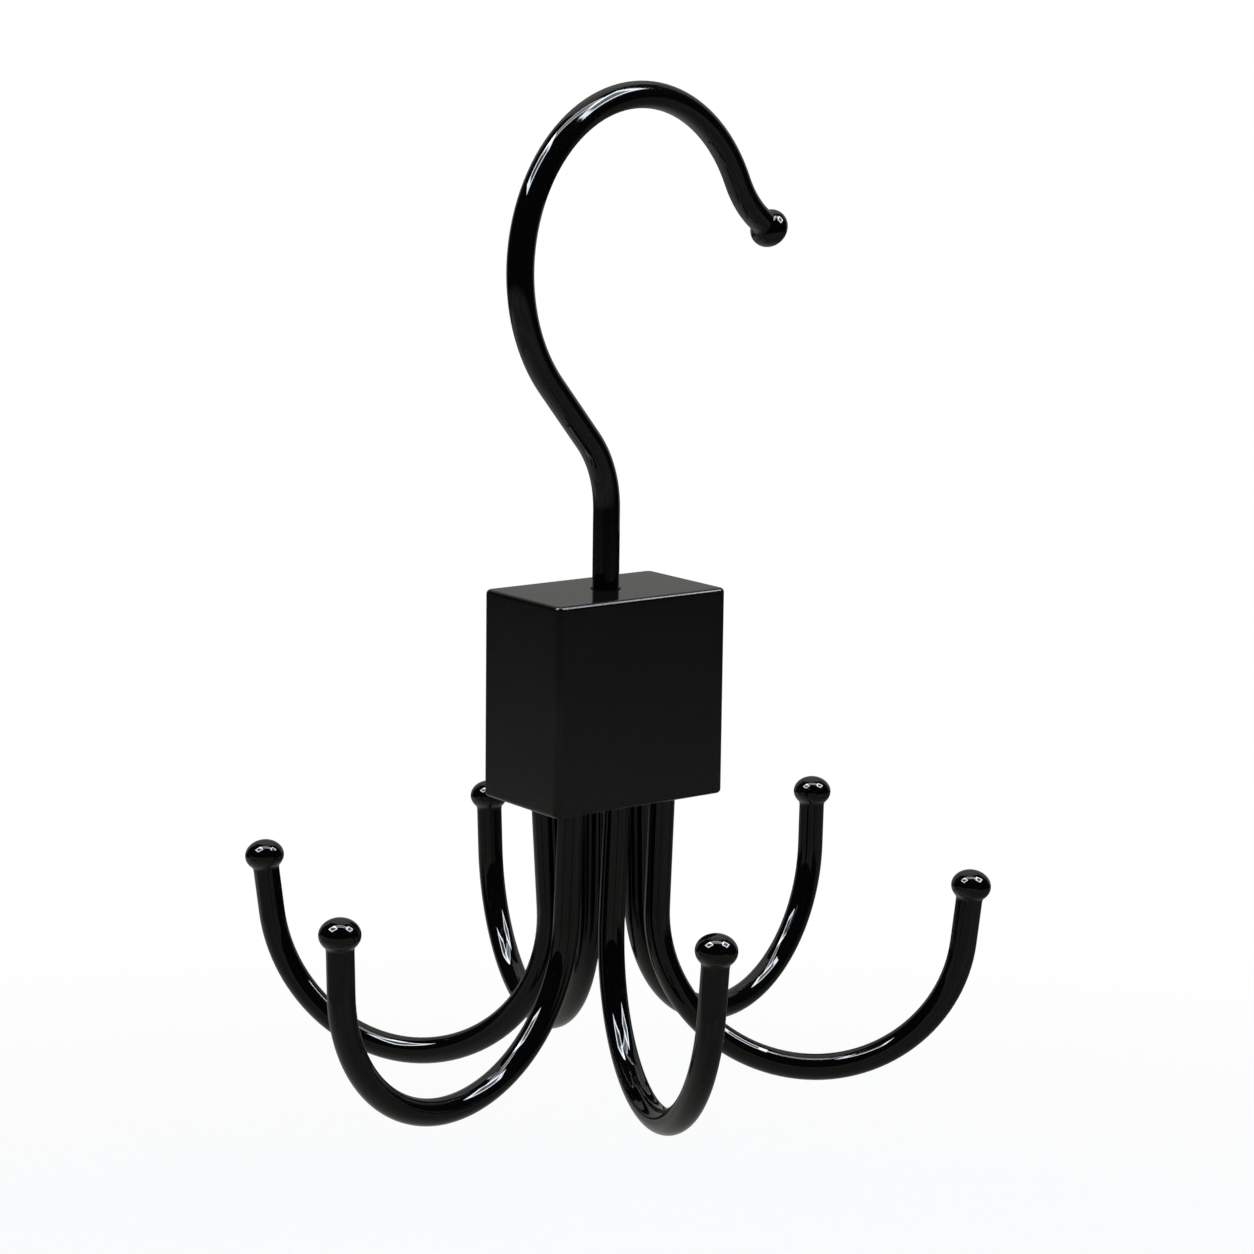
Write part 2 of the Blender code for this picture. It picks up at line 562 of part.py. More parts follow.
def main():
    """Builds the hook's body and the block's body on the swivel's axis."""
    clear_scene()
    materials = {
        "wire": make_material("gloss_black_enamel_wire", (0.010, 0.010, 0.011), 0.12, 0.0),
        "tip": make_material("gloss_black_enamel_tip", (0.010, 0.010, 0.011), 0.10, 0.0),
        "housing": make_material("satin_black_plastic", (0.012, 0.012, 0.011), 0.38, 0.0),
        "carrier": make_material("grey_moulded_core", (0.10, 0.10, 0.10), 0.55, 0.0),
        "bush": make_material("white_bearing_plastic", (0.62, 0.62, 0.60), 0.45, 0.0),
        "steel": make_material("zinc_plated_steel", (0.55, 0.55, 0.56), 0.32, 1.0),
    }
    hook_axis = add_empty("hook_axis", (AXIS_X, AXIS_Y, 0.0), HOOK_TURN, None)
    build_hook(materials, hook_axis)
    build_washer(materials, hook_axis)
    build_nut(materials, hook_axis)
    block_axis = add_empty("block_axis", (AXIS_X, AXIS_Y, 0.0), 0.0, None)
    build_housing(materials, block_axis)
    build_base_plate(materials, block_axis)
    carrier = build_carrier(materials, block_axis)
    build_bush(materials, block_axis)
    build_screws(materials, block_axis)
    drilled = {-1: [carrier], 1: [carrier]}
    for setting in ARMS:
        arm, tilt = build_arm(setting, materials, block_axis)
        build_arm_tip(setting, tilt, materials, block_axis)
        drilled[setting.row].append(arm)
    build_cross_pins(materials, block_axis, drilled)
    bpy.context.view_layer.update()


if __name__ == "__main__":
    main()
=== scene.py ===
"""Dresses the hanger for delicates: gloss enamelled wire, a satin moulded block and a plain studio.

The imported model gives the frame. Every new mesh is made in place in that frame, in metres, and
rides on the body of the rigid piece that it stands for.
"""
import json
import logging
from abc import ABC, abstractmethod
from collections.abc import Iterable, Sequence
from dataclasses import dataclass
from enum import Enum
from math import asin, atan2, cos, pi, radians, sin, sqrt

import bmesh
import bpy
from mathutils import Matrix, Vector


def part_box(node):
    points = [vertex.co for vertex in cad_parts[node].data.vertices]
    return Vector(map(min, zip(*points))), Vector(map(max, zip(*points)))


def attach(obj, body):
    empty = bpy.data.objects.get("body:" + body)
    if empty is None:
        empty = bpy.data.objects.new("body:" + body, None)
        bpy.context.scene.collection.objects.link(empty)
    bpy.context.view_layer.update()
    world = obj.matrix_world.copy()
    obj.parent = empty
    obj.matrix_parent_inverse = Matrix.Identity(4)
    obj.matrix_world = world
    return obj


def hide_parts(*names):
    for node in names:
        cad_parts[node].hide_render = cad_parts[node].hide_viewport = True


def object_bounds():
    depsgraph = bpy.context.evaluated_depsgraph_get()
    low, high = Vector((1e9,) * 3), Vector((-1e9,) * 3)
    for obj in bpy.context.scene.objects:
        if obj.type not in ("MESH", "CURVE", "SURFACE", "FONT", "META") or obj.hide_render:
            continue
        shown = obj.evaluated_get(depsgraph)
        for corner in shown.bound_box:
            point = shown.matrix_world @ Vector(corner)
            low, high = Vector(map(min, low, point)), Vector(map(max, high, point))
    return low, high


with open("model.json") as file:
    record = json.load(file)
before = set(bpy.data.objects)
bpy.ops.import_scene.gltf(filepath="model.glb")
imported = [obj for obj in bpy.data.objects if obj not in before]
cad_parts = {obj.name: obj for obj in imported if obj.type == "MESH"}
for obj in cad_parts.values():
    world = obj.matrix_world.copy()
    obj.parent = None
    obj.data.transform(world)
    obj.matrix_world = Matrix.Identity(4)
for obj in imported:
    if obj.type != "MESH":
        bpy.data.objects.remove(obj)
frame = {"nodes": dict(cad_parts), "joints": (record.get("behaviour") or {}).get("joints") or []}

CAD_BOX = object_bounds()
MM = 0.001
MERGE_DISTANCE = MM / 1000
LEVEL_TOLERANCE = MM / 100
# Edges that turn by more than this are drawn sharp
SHARP_ANGLE = radians(32)
# Most of a noise pattern's values lie between these two
NOISE_RANGE = (0.3, 0.7)
WHITE = "#ffffff"
CAMERA_AZIMUTH = radians(-37.06)

LOG = logging.getLogger("delicates_hanger")

Profile = Sequence[tuple[float, float]]
Colour = tuple[float, float, float, float]


class Body(Enum):
    """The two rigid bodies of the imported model."""

    HOOK = "hook"
    BLOCK = "block"


class Slot(Enum):
    """The record's material slots that the new pieces take their finish from."""

    WIRE = "wire"
    TIP = "tip"
    HOUSING = "housing"
    STEEL = "steel"


def linear(hex_colour: str) -> Colour:
    """Turns an sRGB hex colour into linear RGBA.

    Args:
        hex_colour: the colour as "#rrggbb".

    Returns:
        The linear red, green and blue, and an alpha of 1.
    """
    channels = [int(hex_colour[place:place + 2], 16) / 255 for place in (1, 3, 5)]
    bent = [part / 12.92 if part <= 0.04045 else ((part + 0.055) / 1.055) ** 2.4 for part in channels]
    return (*bent, 1.0)


def level_directions(azimuth: float) -> tuple[Vector, Vector]:
    """Level directions as someone has them who looks along an azimuth.

    Args:
        azimuth: where they look, turned from +Y towards -X.

    Returns:
        Unit vectors to their right and straight ahead.
    """
    return Vector((cos(azimuth), sin(azimuth), 0.0)), Vector((-sin(azimuth), cos(azimuth), 0.0))


def add_node(tree: bpy.types.NodeTree, kind: str, settings: dict | None = None,
             links: dict | None = None) -> bpy.types.Node:
    """Adds a shader node with its settings and its incoming links.

    Args:
        tree: the node tree that takes the node.
        kind: the node's type name.
        settings: values by attribute name, or by input name or number.
        links: output sockets by the input name or number that they feed.

    Returns:
        The new node.
    """
    node = tree.nodes.new(kind)
    for key, value in (settings or {}).items():
        if isinstance(key, int) or key in node.inputs:
            node.inputs[key].default_value = value
        else:
            setattr(node, key, value)
    for key, socket in (links or {}).items():
        tree.links.new(socket, node.inputs[key])
    return node


@dataclass(frozen=True)
class Pattern:
    """A noise pattern at its real size, with the height of its relief where it has one."""

    length: float
    octaves: float
    height: float = 0.0
    distortion: float = 0.0

    @property
    def settings(self) -> dict:
        """Settings of the node that draws the pattern."""
        return {"Scale": 1 / self.length, "Detail": self.octaves, "Distortion": self.distortion}


@dataclass(frozen=True)
class Fade:
    """A value that runs from one level to another between two places and holds beyond them."""

    start: float
    end: float
    before: float = 0.0
    after: float = 1.0
    soft: bool = False

    @property
    def settings(self) -> dict:
        """Settings of the node that carries the fade out."""
        return {"interpolation_type": "SMOOTHSTEP" if self.soft else "LINEAR", "From Min": self.start,
                "From Max": self.end, "To Min": self.before, "To Max": self.after}


def drive_surface(shader: bpy.types.Node, tone: bpy.types.NodeSocket, tones: dict[float, str],
                  gloss: bpy.types.NodeSocket, roughness: Fade,
                  reliefs: Sequence[tuple[bpy.types.NodeSocket, float]]) -> None:
    """Drives a shader's colour, roughness and relief.

    Args:
        shader: the Principled BSDF.
        tone: the factor that the colour follows.
        tones: the two sRGB hex colours, by the factors at which they show fully.
        gloss: the factor that the roughness follows.
        roughness: how the roughness follows it.
        reliefs: the factor and the full height of each relief, each raised over the ones before it.
    """
    tree = shader.id_data
    ramp = add_node(tree, "ShaderNodeValToRGB", None, {"Fac": tone})
    for stop, (place, colour) in zip(ramp.color_ramp.elements, tones.items()):
        stop.position = place
        stop.color = linear(colour)
    tree.links.new(ramp.outputs["Color"], shader.inputs["Base Color"])
    skin = add_node(tree, "ShaderNodeMapRange", roughness.settings, {"Value": gloss})
    tree.links.new(skin.outputs["Result"], shader.inputs["Roughness"])
    below = {}
    for factor, height in reliefs:
        bump = add_node(tree, "ShaderNodeBump", {"Distance": height}, {"Height": factor, **below})
        below = {"Normal": bump.outputs["Normal"]}
    tree.links.new(below["Normal"], shader.inputs["Normal"])


@dataclass(frozen=True)
class Finish(ABC):
    """A surface finish that makes one node material."""

    name: str

    def material(self) -> bpy.types.Material:
        """Returns the finish's material, made on its first use."""
        known = bpy.data.materials.get(self.name)
        if known is not None:
            return known
        made = bpy.data.materials.new(self.name)
        made.use_nodes = True
        self.dress(made.node_tree, made.node_tree.nodes["Principled BSDF"])
        return made

    @abstractmethod
    def dress(self, tree: bpy.types.NodeTree, shader: bpy.types.Node) -> None:
        """Sets the shader and adds the nodes that drive it.

        Args:
            tree: the material's node tree.
            shader: its Principled BSDF.
        """


@dataclass(frozen=True)
class StovedEnamel(Finish):
    """Black stoving enamel, dipped over drawn steel wire and baked.

    The dip leaves a deep gloss whose streaks waver a little along the wire, a faint orange peel
    and a few specks of dust, and the crown is rubbed dull where it slides along the closet rod.
    """

    colour: str = "#020202"
    thin_colour: str = "#040403"
    roughness: float = 0.028
    rubbed_roughness: float = 0.16
    ior: float = 1.58
    wave: Pattern = Pattern(11.0 * MM, 1.0, 0.020 * MM)
    peel: Pattern = Pattern(1.1 * MM, 2.0, 0.0006 * MM)
    # Dust is finer than this in life and is drawn at this spacing and size to show at all
    speck_spacing: float = 12.0 * MM
    speck_size_share: float = 0.020
    speck_height: float = 0.007 * MM
    # The rod touches the crown's underside from the origin down to this depth
    rubbed_depth: float = 5.0 * MM

    def dress(self, tree: bpy.types.NodeTree, shader: bpy.types.Node) -> None:
        """Wires the enamel's waver, peel, specks and rubbed crown.

        Args:
            tree: the material's node tree.
            shader: its Principled BSDF.
        """
        place = add_node(tree, "ShaderNodeTexCoord").outputs["Object"]
        wave, peel = [add_node(tree, "ShaderNodeTexNoise", pattern.settings, {"Vector": place}).outputs["Fac"]
                      for pattern in (self.wave, self.peel)]
        cells = add_node(tree, "ShaderNodeTexVoronoi", {"Scale": 1 / self.speck_spacing}, {"Vector": place})
        speck = add_node(tree, "ShaderNodeMapRange", Fade(0.0, self.speck_size_share, 1.0, 0.0).settings,
                         {"Value": cells.outputs["Distance"]}).outputs["Result"]
        height = add_node(tree, "ShaderNodeSeparateXYZ", None, {"Vector": place}).outputs["Z"]
        rubbed = add_node(tree, "ShaderNodeMapRange", Fade(-self.rubbed_depth, 0.0).settings,
                          {"Value": height})
        streaky = add_node(tree, "ShaderNodeMath", {"operation": "MULTIPLY"},
                           {0: rubbed.outputs["Result"], 1: peel})
        drive_surface(shader, wave, {0.0: self.colour, 1.0: self.thin_colour},
                      streaky.outputs["Value"], Fade(0.0, 1.0, self.roughness, self.rubbed_roughness),
                      [(wave, self.wave.height), (peel, self.peel.height), (speck, self.speck_height)])
        shader.inputs["IOR"].default_value = self.ior


@dataclass(frozen=True)
class MouldedAbs(Finish):
    """Black ABS, injection moulded in a finely spark-eroded tool.

    The tool leaves a satin skin: a broad soft sheen and a grain that just shows at the edges.
    Where the plastic cooled at different rates the walls are sunk a little, which breaks the
    light along the edges and clouds the flat faces.
    """

    colour: str = "#0a0a09"
    edge_colour: str = "#121211"
    roughness: float = 0.09
    cloudy_roughness: float = 0.12
    ior: float = 1.53
    # A spark grain is about 0.1 mm and is drawn coarser so that it shows
    grain: Pattern = Pattern(0.35 * MM, 3.0, 0.003 * MM)
    cloud: Pattern = Pattern(22.0 * MM, 2.0)
    sink: Pattern = Pattern(15.0 * MM, 1.0, 0.022 * MM)
    # Pointiness is 0.5 on a flat face; the lighter tone of the sharp edges starts and shows fully at these
    edge_from_share: float = 0.52
    edge_full_share: float = 0.72

    def dress(self, tree: bpy.types.NodeTree, shader: bpy.types.Node) -> None:
        """Wires the grain, the cloudy sheen and the lighter tone on the sharp edges.

        Args:
            tree: the material's node tree.
            shader: its Principled BSDF.
        """
        place = add_node(tree, "ShaderNodeTexCoord").outputs["Object"]
        grain, cloud, sink = [
            add_node(tree, "ShaderNodeTexNoise", pattern.settings, {"Vector": place}).outputs["Fac"]
            for pattern in (self.grain, self.cloud, self.sink)]
        ridge = add_node(tree, "ShaderNodeNewGeometry").outputs["Pointiness"]
        # The colour is lighter on the sharp edges, where pointiness is high
        tones = {self.edge_from_share: self.colour, self.edge_full_share: self.edge_colour}
        drive_surface(shader, ridge, tones, cloud, Fade(*NOISE_RANGE, self.roughness, self.cloudy_roughness),
                      [(sink, self.sink.height), (grain, self.grain.height)])
        shader.inputs["IOR"].default_value = self.ior


@dataclass(frozen=True)
class MottledSkin(Finish):
    """A skin whose tone and gloss change together in soft patches, with a fine relief over them."""

    colours: tuple[str, str]
    roughness: tuple[float, float]
    mottle: Pattern
    relief: Pattern

    def dress(self, tree: bpy.types.NodeTree, shader: bpy.types.Node) -> None:
        """Wires the mottle and the relief.

        Args:
            tree: the material's node tree.
            shader: its Principled BSDF.
        """
        place = add_node(tree, "ShaderNodeTexCoord").outputs["Object"]
        mottle, relief = [
            add_node(tree, "ShaderNodeTexNoise", pattern.settings, {"Vector": place}).outputs["Fac"]
            for pattern in (self.mottle, self.relief)]
        drive_surface(shader, mottle, dict(zip((0.0, 1.0), self.colours)),
                      mottle, Fade(*NOISE_RANGE, *self.roughness), [(relief, self.relief.height)])


@dataclass(frozen=True)
class MouldedPlastic(MottledSkin):
    """A plain moulded engineering plastic, glass-filled nylon or acetal.

    It is hidden inside the block: an even tone with a soft flow mottle and a matt to waxy skin.
    """

    colours: tuple[str, str] = ("#5a5a58", "#6a6a67")
    roughness: tuple[float, float] = (0.5, 0.6)
    mottle: Pattern = Pattern(6.0 * MM, 3.0, distortion=1.5)
    relief: Pattern = Pattern(0.4 * MM, 2.0, 0.004 * MM)
    ior: float = 1.5

    def dress(self, tree: bpy.types.NodeTree, shader: bpy.types.Node) -> None:
        """Wires the flow mottle and the skin's grain, on plastic."""
        super().dress(tree, shader)
        shader.inputs["IOR"].default_value = self.ior


@dataclass(frozen=True)
class ZincPlate(MottledSkin):
    """Bright zinc plate over turned or stamped steel.

    The plate gives a cool silver with a soft crystal mottle and fine machining lines.
    """

    colours: tuple[str, str] = ("#9fa3a6", "#c3c6c9")
    roughness: tuple[float, float] = (0.42, 0.26)
    mottle: Pattern = Pattern(0.9 * MM, 4.0)
    relief: Pattern = Pattern(0.25 * MM, 1.0, 0.004 * MM)

    def dress(self, tree: bpy.types.NodeTree, shader: bpy.types.Node) -> None:
        """Wires the crystal mottle and the machining lines, on metal."""
        super().dress(tree, shader)
        shader.inputs["Metallic"].default_value = 1.0


@dataclass(frozen=True)
class FinishSet:
    """Every finish on the hanger."""

    wire: Finish = StovedEnamel("stoving_enamel_dipped_on_wire")
    tip: Finish = StovedEnamel("stoving_enamel_pooled_on_ball", roughness=0.025,
                               wave=Pattern(11.0 * MM, 1.0, 0.008 * MM),
                               peel=Pattern(1.1 * MM, 2.0, 0.0008 * MM))
    housing: Finish = MouldedAbs("abs_satin_moulded")
    carrier: Finish = MouldedPlastic("nylon_glass_filled_moulded")
    bush: Finish = MouldedPlastic("acetal_turned", ("#d6d5cf", "#e0dfda"), (0.35, 0.42), ior=1.48)
    steel: Finish = ZincPlate("steel_zinc_plated")


def mesh_object(bm: bmesh.types.BMesh, name: str,
                materials: Iterable[bpy.types.Material]) -> bpy.types.Object:
    """Turns a bmesh into an object of the scene.

    Args:
        bm: the object's geometry, in place; it is freed.
        name: the object's name.
        materials: its materials, by the faces' material numbers.

    Returns:
        The new object, at the origin and unturned.
    """
    mesh = bpy.data.meshes.new(name)
    bm.to_mesh(mesh)
    bm.free()
    for material in materials:
        mesh.materials.append(material)
    made = bpy.data.objects.new(name, mesh)
    bpy.context.scene.collection.objects.link(made)
    return made


def finish_piece(bm: bmesh.types.BMesh, name: str, finish: Finish, body: Body,
                 nodes: Iterable[str]) -> bpy.types.Object:
    """Turns a bmesh into a dressed piece that stands for one or more rigid nodes.

    Args:
        bm: the piece's geometry, in place; it is freed.
        name: the piece's name.
        finish: the finish of the whole piece.
        body: the body that carries the piece.
        nodes: the rigid nodes that the piece stands for.

    Returns:
        The new object, at the origin and unturned.
    """
    bmesh.ops.remove_doubles(bm, verts=bm.verts, dist=MERGE_DISTANCE)
    bmesh.ops.recalc_face_normals(bm, faces=bm.faces)
    piece = mesh_object(bm, name, [finish.material()])
    piece.data.shade_smooth()
    piece.data.set_sharp_from_angle(angle=SHARP_ANGLE)
    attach(piece, body.value)
    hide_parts(*nodes)
    LOG.info("%s: %d faces, on body %s", name, len(piece.data.polygons), body.value)
    return piece


def add_box(bm: bmesh.types.BMesh, size: Vector, level: float) -> list[bmesh.types.BMVert]:
    """Adds a box about the Z axis.

    Args:
        bm: the bmesh that takes it.
        size: its size along X, Y and Z.
        level: the height of its middle.

    Returns:
        Its corners.
    """
    corners = bmesh.ops.create_cube(bm, size=1.0)["verts"]
    bmesh.ops.scale(bm, vec=size, verts=corners)
    bmesh.ops.translate(bm, vec=(0.0, 0.0, level), verts=corners)
    return corners


def rise(edge: bmesh.types.BMEdge) -> float:
    """Height of an edge's one end over the other."""
    return abs(edge.verts[0].co.z - edge.verts[1].co.z)


def round_edges(bm: bmesh.types.BMesh, edges: Iterable[bmesh.types.BMEdge], radius: float,
                segments: int) -> None:
    """Rounds edges to a radius in a number of segments."""
    bmesh.ops.bevel(bm, geom=list(edges), offset=radius, offset_type="OFFSET", segments=segments,
                    affect="EDGES", profile=0.5, material=-1)


def level_face(bm: bmesh.types.BMesh, level: float) -> bmesh.types.BMFace:
    """Finds the largest face that lies at a height.

    Args:
        bm: the bmesh that is searched.
        level: the height.

    Returns:
        The face.
    """
    flat = [face for face in bm.faces
            if all(abs(vert.co.z - level) < LEVEL_TOLERANCE for vert in face.verts)]
    return max(flat, key=lambda face: face.calc_area())


def wall(bm: bmesh.types.BMesh, profile: Profile, sides: int,
         centre: tuple[float, float] = (0.0, 0.0)) -> list[list[bmesh.types.BMEdge]]:
    """Spins an open profile about an upright axis into a wall.

    Args:
        bm: the bmesh that takes it.
        profile: (radius, height) points, in order.
        sides: the wall's number of sides.
        centre: the axis in plan.

    Returns:
        The edges of the first and of the last circle.
    """
    verts = [bm.verts.new((centre[0] + radius, centre[1], level)) for radius, level in profile]
    edges = [bm.edges.new(pair) for pair in zip(verts, verts[1:])]
    bmesh.ops.spin(bm, geom=verts + edges, cent=(*centre, 0.0), axis=(0.0, 0.0, 1.0), dvec=(0.0, 0.0, 0.0),
                   angle=2 * pi, steps=sides, use_merge=True, use_duplicate=False)
    rims = []
    for radius, level in (profile[0], profile[-1]):
        on_rim = {vert for vert in bm.verts if abs(vert.co.z - level) < MERGE_DISTANCE
                  and abs((vert.co.xy - Vector(centre)).length - radius) < MERGE_DISTANCE}
        rims.append([edge for edge in bm.edges if set(edge.verts) <= on_rim])
    return rims


def fillet(corner: tuple[float, float], start: tuple[float, float], end: tuple[float, float],
           steps: int) -> list[tuple[float, float]]:
    """Rounds a corner of a profile with a smooth curve.

    Args:
        corner: the point that the two tangents meet in.
        start: the curve's first point.
        end: its last point.
        steps: its number of steps.

    Returns:
        The curve's points, both ends included.
    """
    points = []
    for step in range(steps + 1):
        along = step / steps
        points.append(tuple((1 - along) ** 2 * a + 2 * along * (1 - along) * b + along ** 2 * c
                            for a, b, c in zip(start, corner, end)))
    return points


class WireBender:
    """Draws round wire in the XZ plane as a bending machine does: it feeds, and it bends."""

    def __init__(self, radius: float, start: Sequence[float], heading: float, sides: int = 48) -> None:
        """Starts the wire with a closed end.

        Args:
            radius: the wire's radius.
            start: the place of its first end.
            heading: the angle from +X towards +Z along which it starts.
            sides: the number of sides of its section.
        """
        self.bm = bmesh.new()
        self.place = Vector(start)
        self.heading = heading
        bmesh.ops.create_circle(self.bm, cap_ends=True, radius=radius, segments=sides, matrix=self.stand())
        self.end = next(iter(self.bm.faces))

    @property
    def direction(self) -> Vector:
        """Unit vector along which the wire runs now."""
        return Vector((cos(self.heading), 0.0, sin(self.heading)))

    def stand(self, ahead: float = 0.0) -> Matrix:
        """What takes the Z axis onto the wire's line, with its zero ahead of the wire's end."""
        place = self.place + self.direction * ahead
        return Matrix.Translation(place) @ Matrix.Rotation(pi / 2 - self.heading, 4, "Y")

    def end_geometry(self) -> list:
        """The wire's end face with its edges and corners."""
        return list(self.end.verts) + list(self.end.edges) + [self.end]

    def feed(self, length: float) -> None:
        """Runs the wire straight on.

        Args:
            length: how far it runs.
        """
        grown = bmesh.ops.extrude_face_region(self.bm, geom=self.end_geometry())["geom"]
        self.end = next(part for part in grown if isinstance(part, bmesh.types.BMFace))
        bmesh.ops.translate(self.bm, vec=self.direction * length, verts=self.end.verts)
        self.place += self.direction * length

    def bend(self, radius: float, angle: float, step: float = radians(3)) -> None:
        """Bends the wire in its plane.

        Args:
            radius: the bend's radius on the wire's middle.
            angle: how far it turns; a positive angle turns it from +X towards +Z.
            step: the angle of one facet.
        """
        left = Vector((-sin(self.heading), 0.0, cos(self.heading)))
        centre = self.place + left * (radius if angle > 0 else -radius)
        bent = bmesh.ops.spin(self.bm, geom=self.end_geometry(), cent=centre, axis=(0.0, 1.0, 0.0),
                              dvec=(0.0, 0.0, 0.0), angle=-angle, steps=round(abs(angle) / step),
                              use_merge=False, use_duplicate=False)["geom_last"]
        self.end = next(part for part in bent if isinstance(part, bmesh.types.BMFace))
        self.place = centre + Matrix.Rotation(-angle, 3, "Y") @ (self.place - centre)
        self.heading += angle

    def resize(self, share: float) -> None:
        """Steps the wire to a share of its thickness.

        Args:
            share: the new thickness over the old.
        """
        self.feed(0.0)
        for vert in self.end.verts:
            vert.co = self.place + (vert.co - self.place) * share


@dataclass(frozen=True)
class BallTip:
    """A flattened ball on a wire's end, with enamel pooled in the corner where they meet."""

    diameter: float
    wire_diameter: float
    length_share: float = 0.81
    pool: float = 0.55 * MM
    skin: float = 0.03 * MM
    steps: int = 40
    pool_steps: int = 6
    sides: int = 64

    @property
    def neck(self) -> float:
        """Distance from the ball's middle to the flat where the wire meets it."""
        ratio = self.wire_diameter / self.diameter
        return self.diameter / 2 * self.length_share * sqrt(1 - ratio * ratio)

    def surface(self, angle: float) -> tuple[float, float]:
        """Radius and height of the ball's skin at an angle from its lower pole."""
        half = self.diameter / 2
        return half * sin(angle), -half * self.length_share * cos(angle)

    def build(self, stand: Matrix) -> bmesh.types.BMesh:
        """Turns the ball with its pooled corner.

        Args:
            stand: what takes the ball from its own axis to its place on the wire.

        Returns:
            The ball in place, with its nose away from the wire.
        """
        start = asin(self.wire_diameter / self.diameter)
        first = start + self.pool / (self.diameter / 2)
        rim = self.wire_diameter / 2 + self.skin
        foot = -self.neck - self.pool
        points = [(0.0, foot), (rim - self.skin, foot)]
        points += fillet((rim, -self.neck), (rim, foot + self.skin), self.surface(first), self.pool_steps)
        points += [self.surface(first + (pi - first) * step / self.steps)
                   for step in range(1, self.steps + 1)]
        points[-1] = (0.0, points[-1][1])
        bm = bmesh.new()
        wall(bm, points, self.sides)
        bmesh.ops.remove_doubles(bm, verts=bm.verts, dist=MERGE_DISTANCE)
        bmesh.ops.transform(bm, matrix=stand, verts=bm.verts)
        return bm


@dataclass
class TopHook:
    """The top hook: threaded end, shank, S-bend, loop over the rod and an end that flares outward."""

    wire_diameter: float = 6.2 * MM
    thread_diameter: float = 4.8 * MM
    thread_length: float = 6.4 * MM
    shank: float = 18.5 * MM
    swan_radius: float = 24.1 * MM
    swan_angle: float = radians(42.5)
    slant: float = 18.1 * MM
    loop_radius: float = 38.1 * MM
    loop_angle: float = radians(195.2)
    flare_radius: float = 24.4 * MM
    flare_angle: float = radians(28.5)
    tail: float = 4.4 * MM
    turn: float = radians(10.1)
    tip_diameter: float = 9.4 * MM
    finishes: FinishSet = FinishSet()

    def build(self, block_top: float) -> None:
        """Bends the hook and puts its ball on.

        Args:
            block_top: the height of the block's top face, from which the shank is measured.
        """
        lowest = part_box("top_hook")[0].z
        axis = Vector(frame["joints"][0]["pos_m"])
        thread_end = lowest + self.thread_length
        tip = BallTip(self.tip_diameter, self.wire_diameter)
        wire = WireBender(self.thread_diameter / 2, (0.0, 0.0, lowest), pi / 2)
        wire.feed(thread_end - lowest)
        wire.resize(self.wire_diameter / self.thread_diameter)
        wire.feed(block_top + self.shank - thread_end)
        wire.bend(self.swan_radius, self.swan_angle)
        wire.feed(self.slant)
        wire.bend(self.loop_radius, -self.loop_angle)
        wire.bend(self.flare_radius, self.flare_angle)
        wire.feed(self.tail - tip.neck)
        place = Matrix.Translation((axis.x, axis.y, 0.0)) @ Matrix.Rotation(self.turn, 4, "Z")
        bmesh.ops.transform(wire.bm, matrix=place, verts=wire.bm.verts)
        finish_piece(wire.bm, "hook_wire", self.finishes.wire, Body.HOOK, ["top_hook"])
        finish_piece(tip.build(place @ wire.stand(tip.neck)), "hook_ball", self.finishes.tip,
                     Body.HOOK, ["hook_ball_tip"])


@dataclass(frozen=True)
class ArmSetting:
    """Where an arm stands in the block's grid and how it was bent and set."""

    name: str
    column: int
    row: int
    heading: float
    lean: float
    side: float
    depth_share: float


# Columns and rows count from the block's middle, angles are degrees, depth is a share of the wire
ARM_SETTINGS = (
    ArmSetting("front_right", 1, -1, -40.0, -1.6, 0.2, -0.10),
    ArmSetting("rear_right", 1, 1, 15.3, 1.9, -0.7, 0.08),
    ArmSetting("rear_middle", 0, 1, 74.1, 0.1, -0.5, 0.02),
    ArmSetting("rear_left", -1, 1, 122.8, -3.0, -1.2, 0.13),
    ArmSetting("front_left", -1, -1, -168.0, 2.0, -0.6, 0.00),
    ArmSetting("front_middle", 0, -1, -109.4, 2.1, -2.6, -0.10),
)


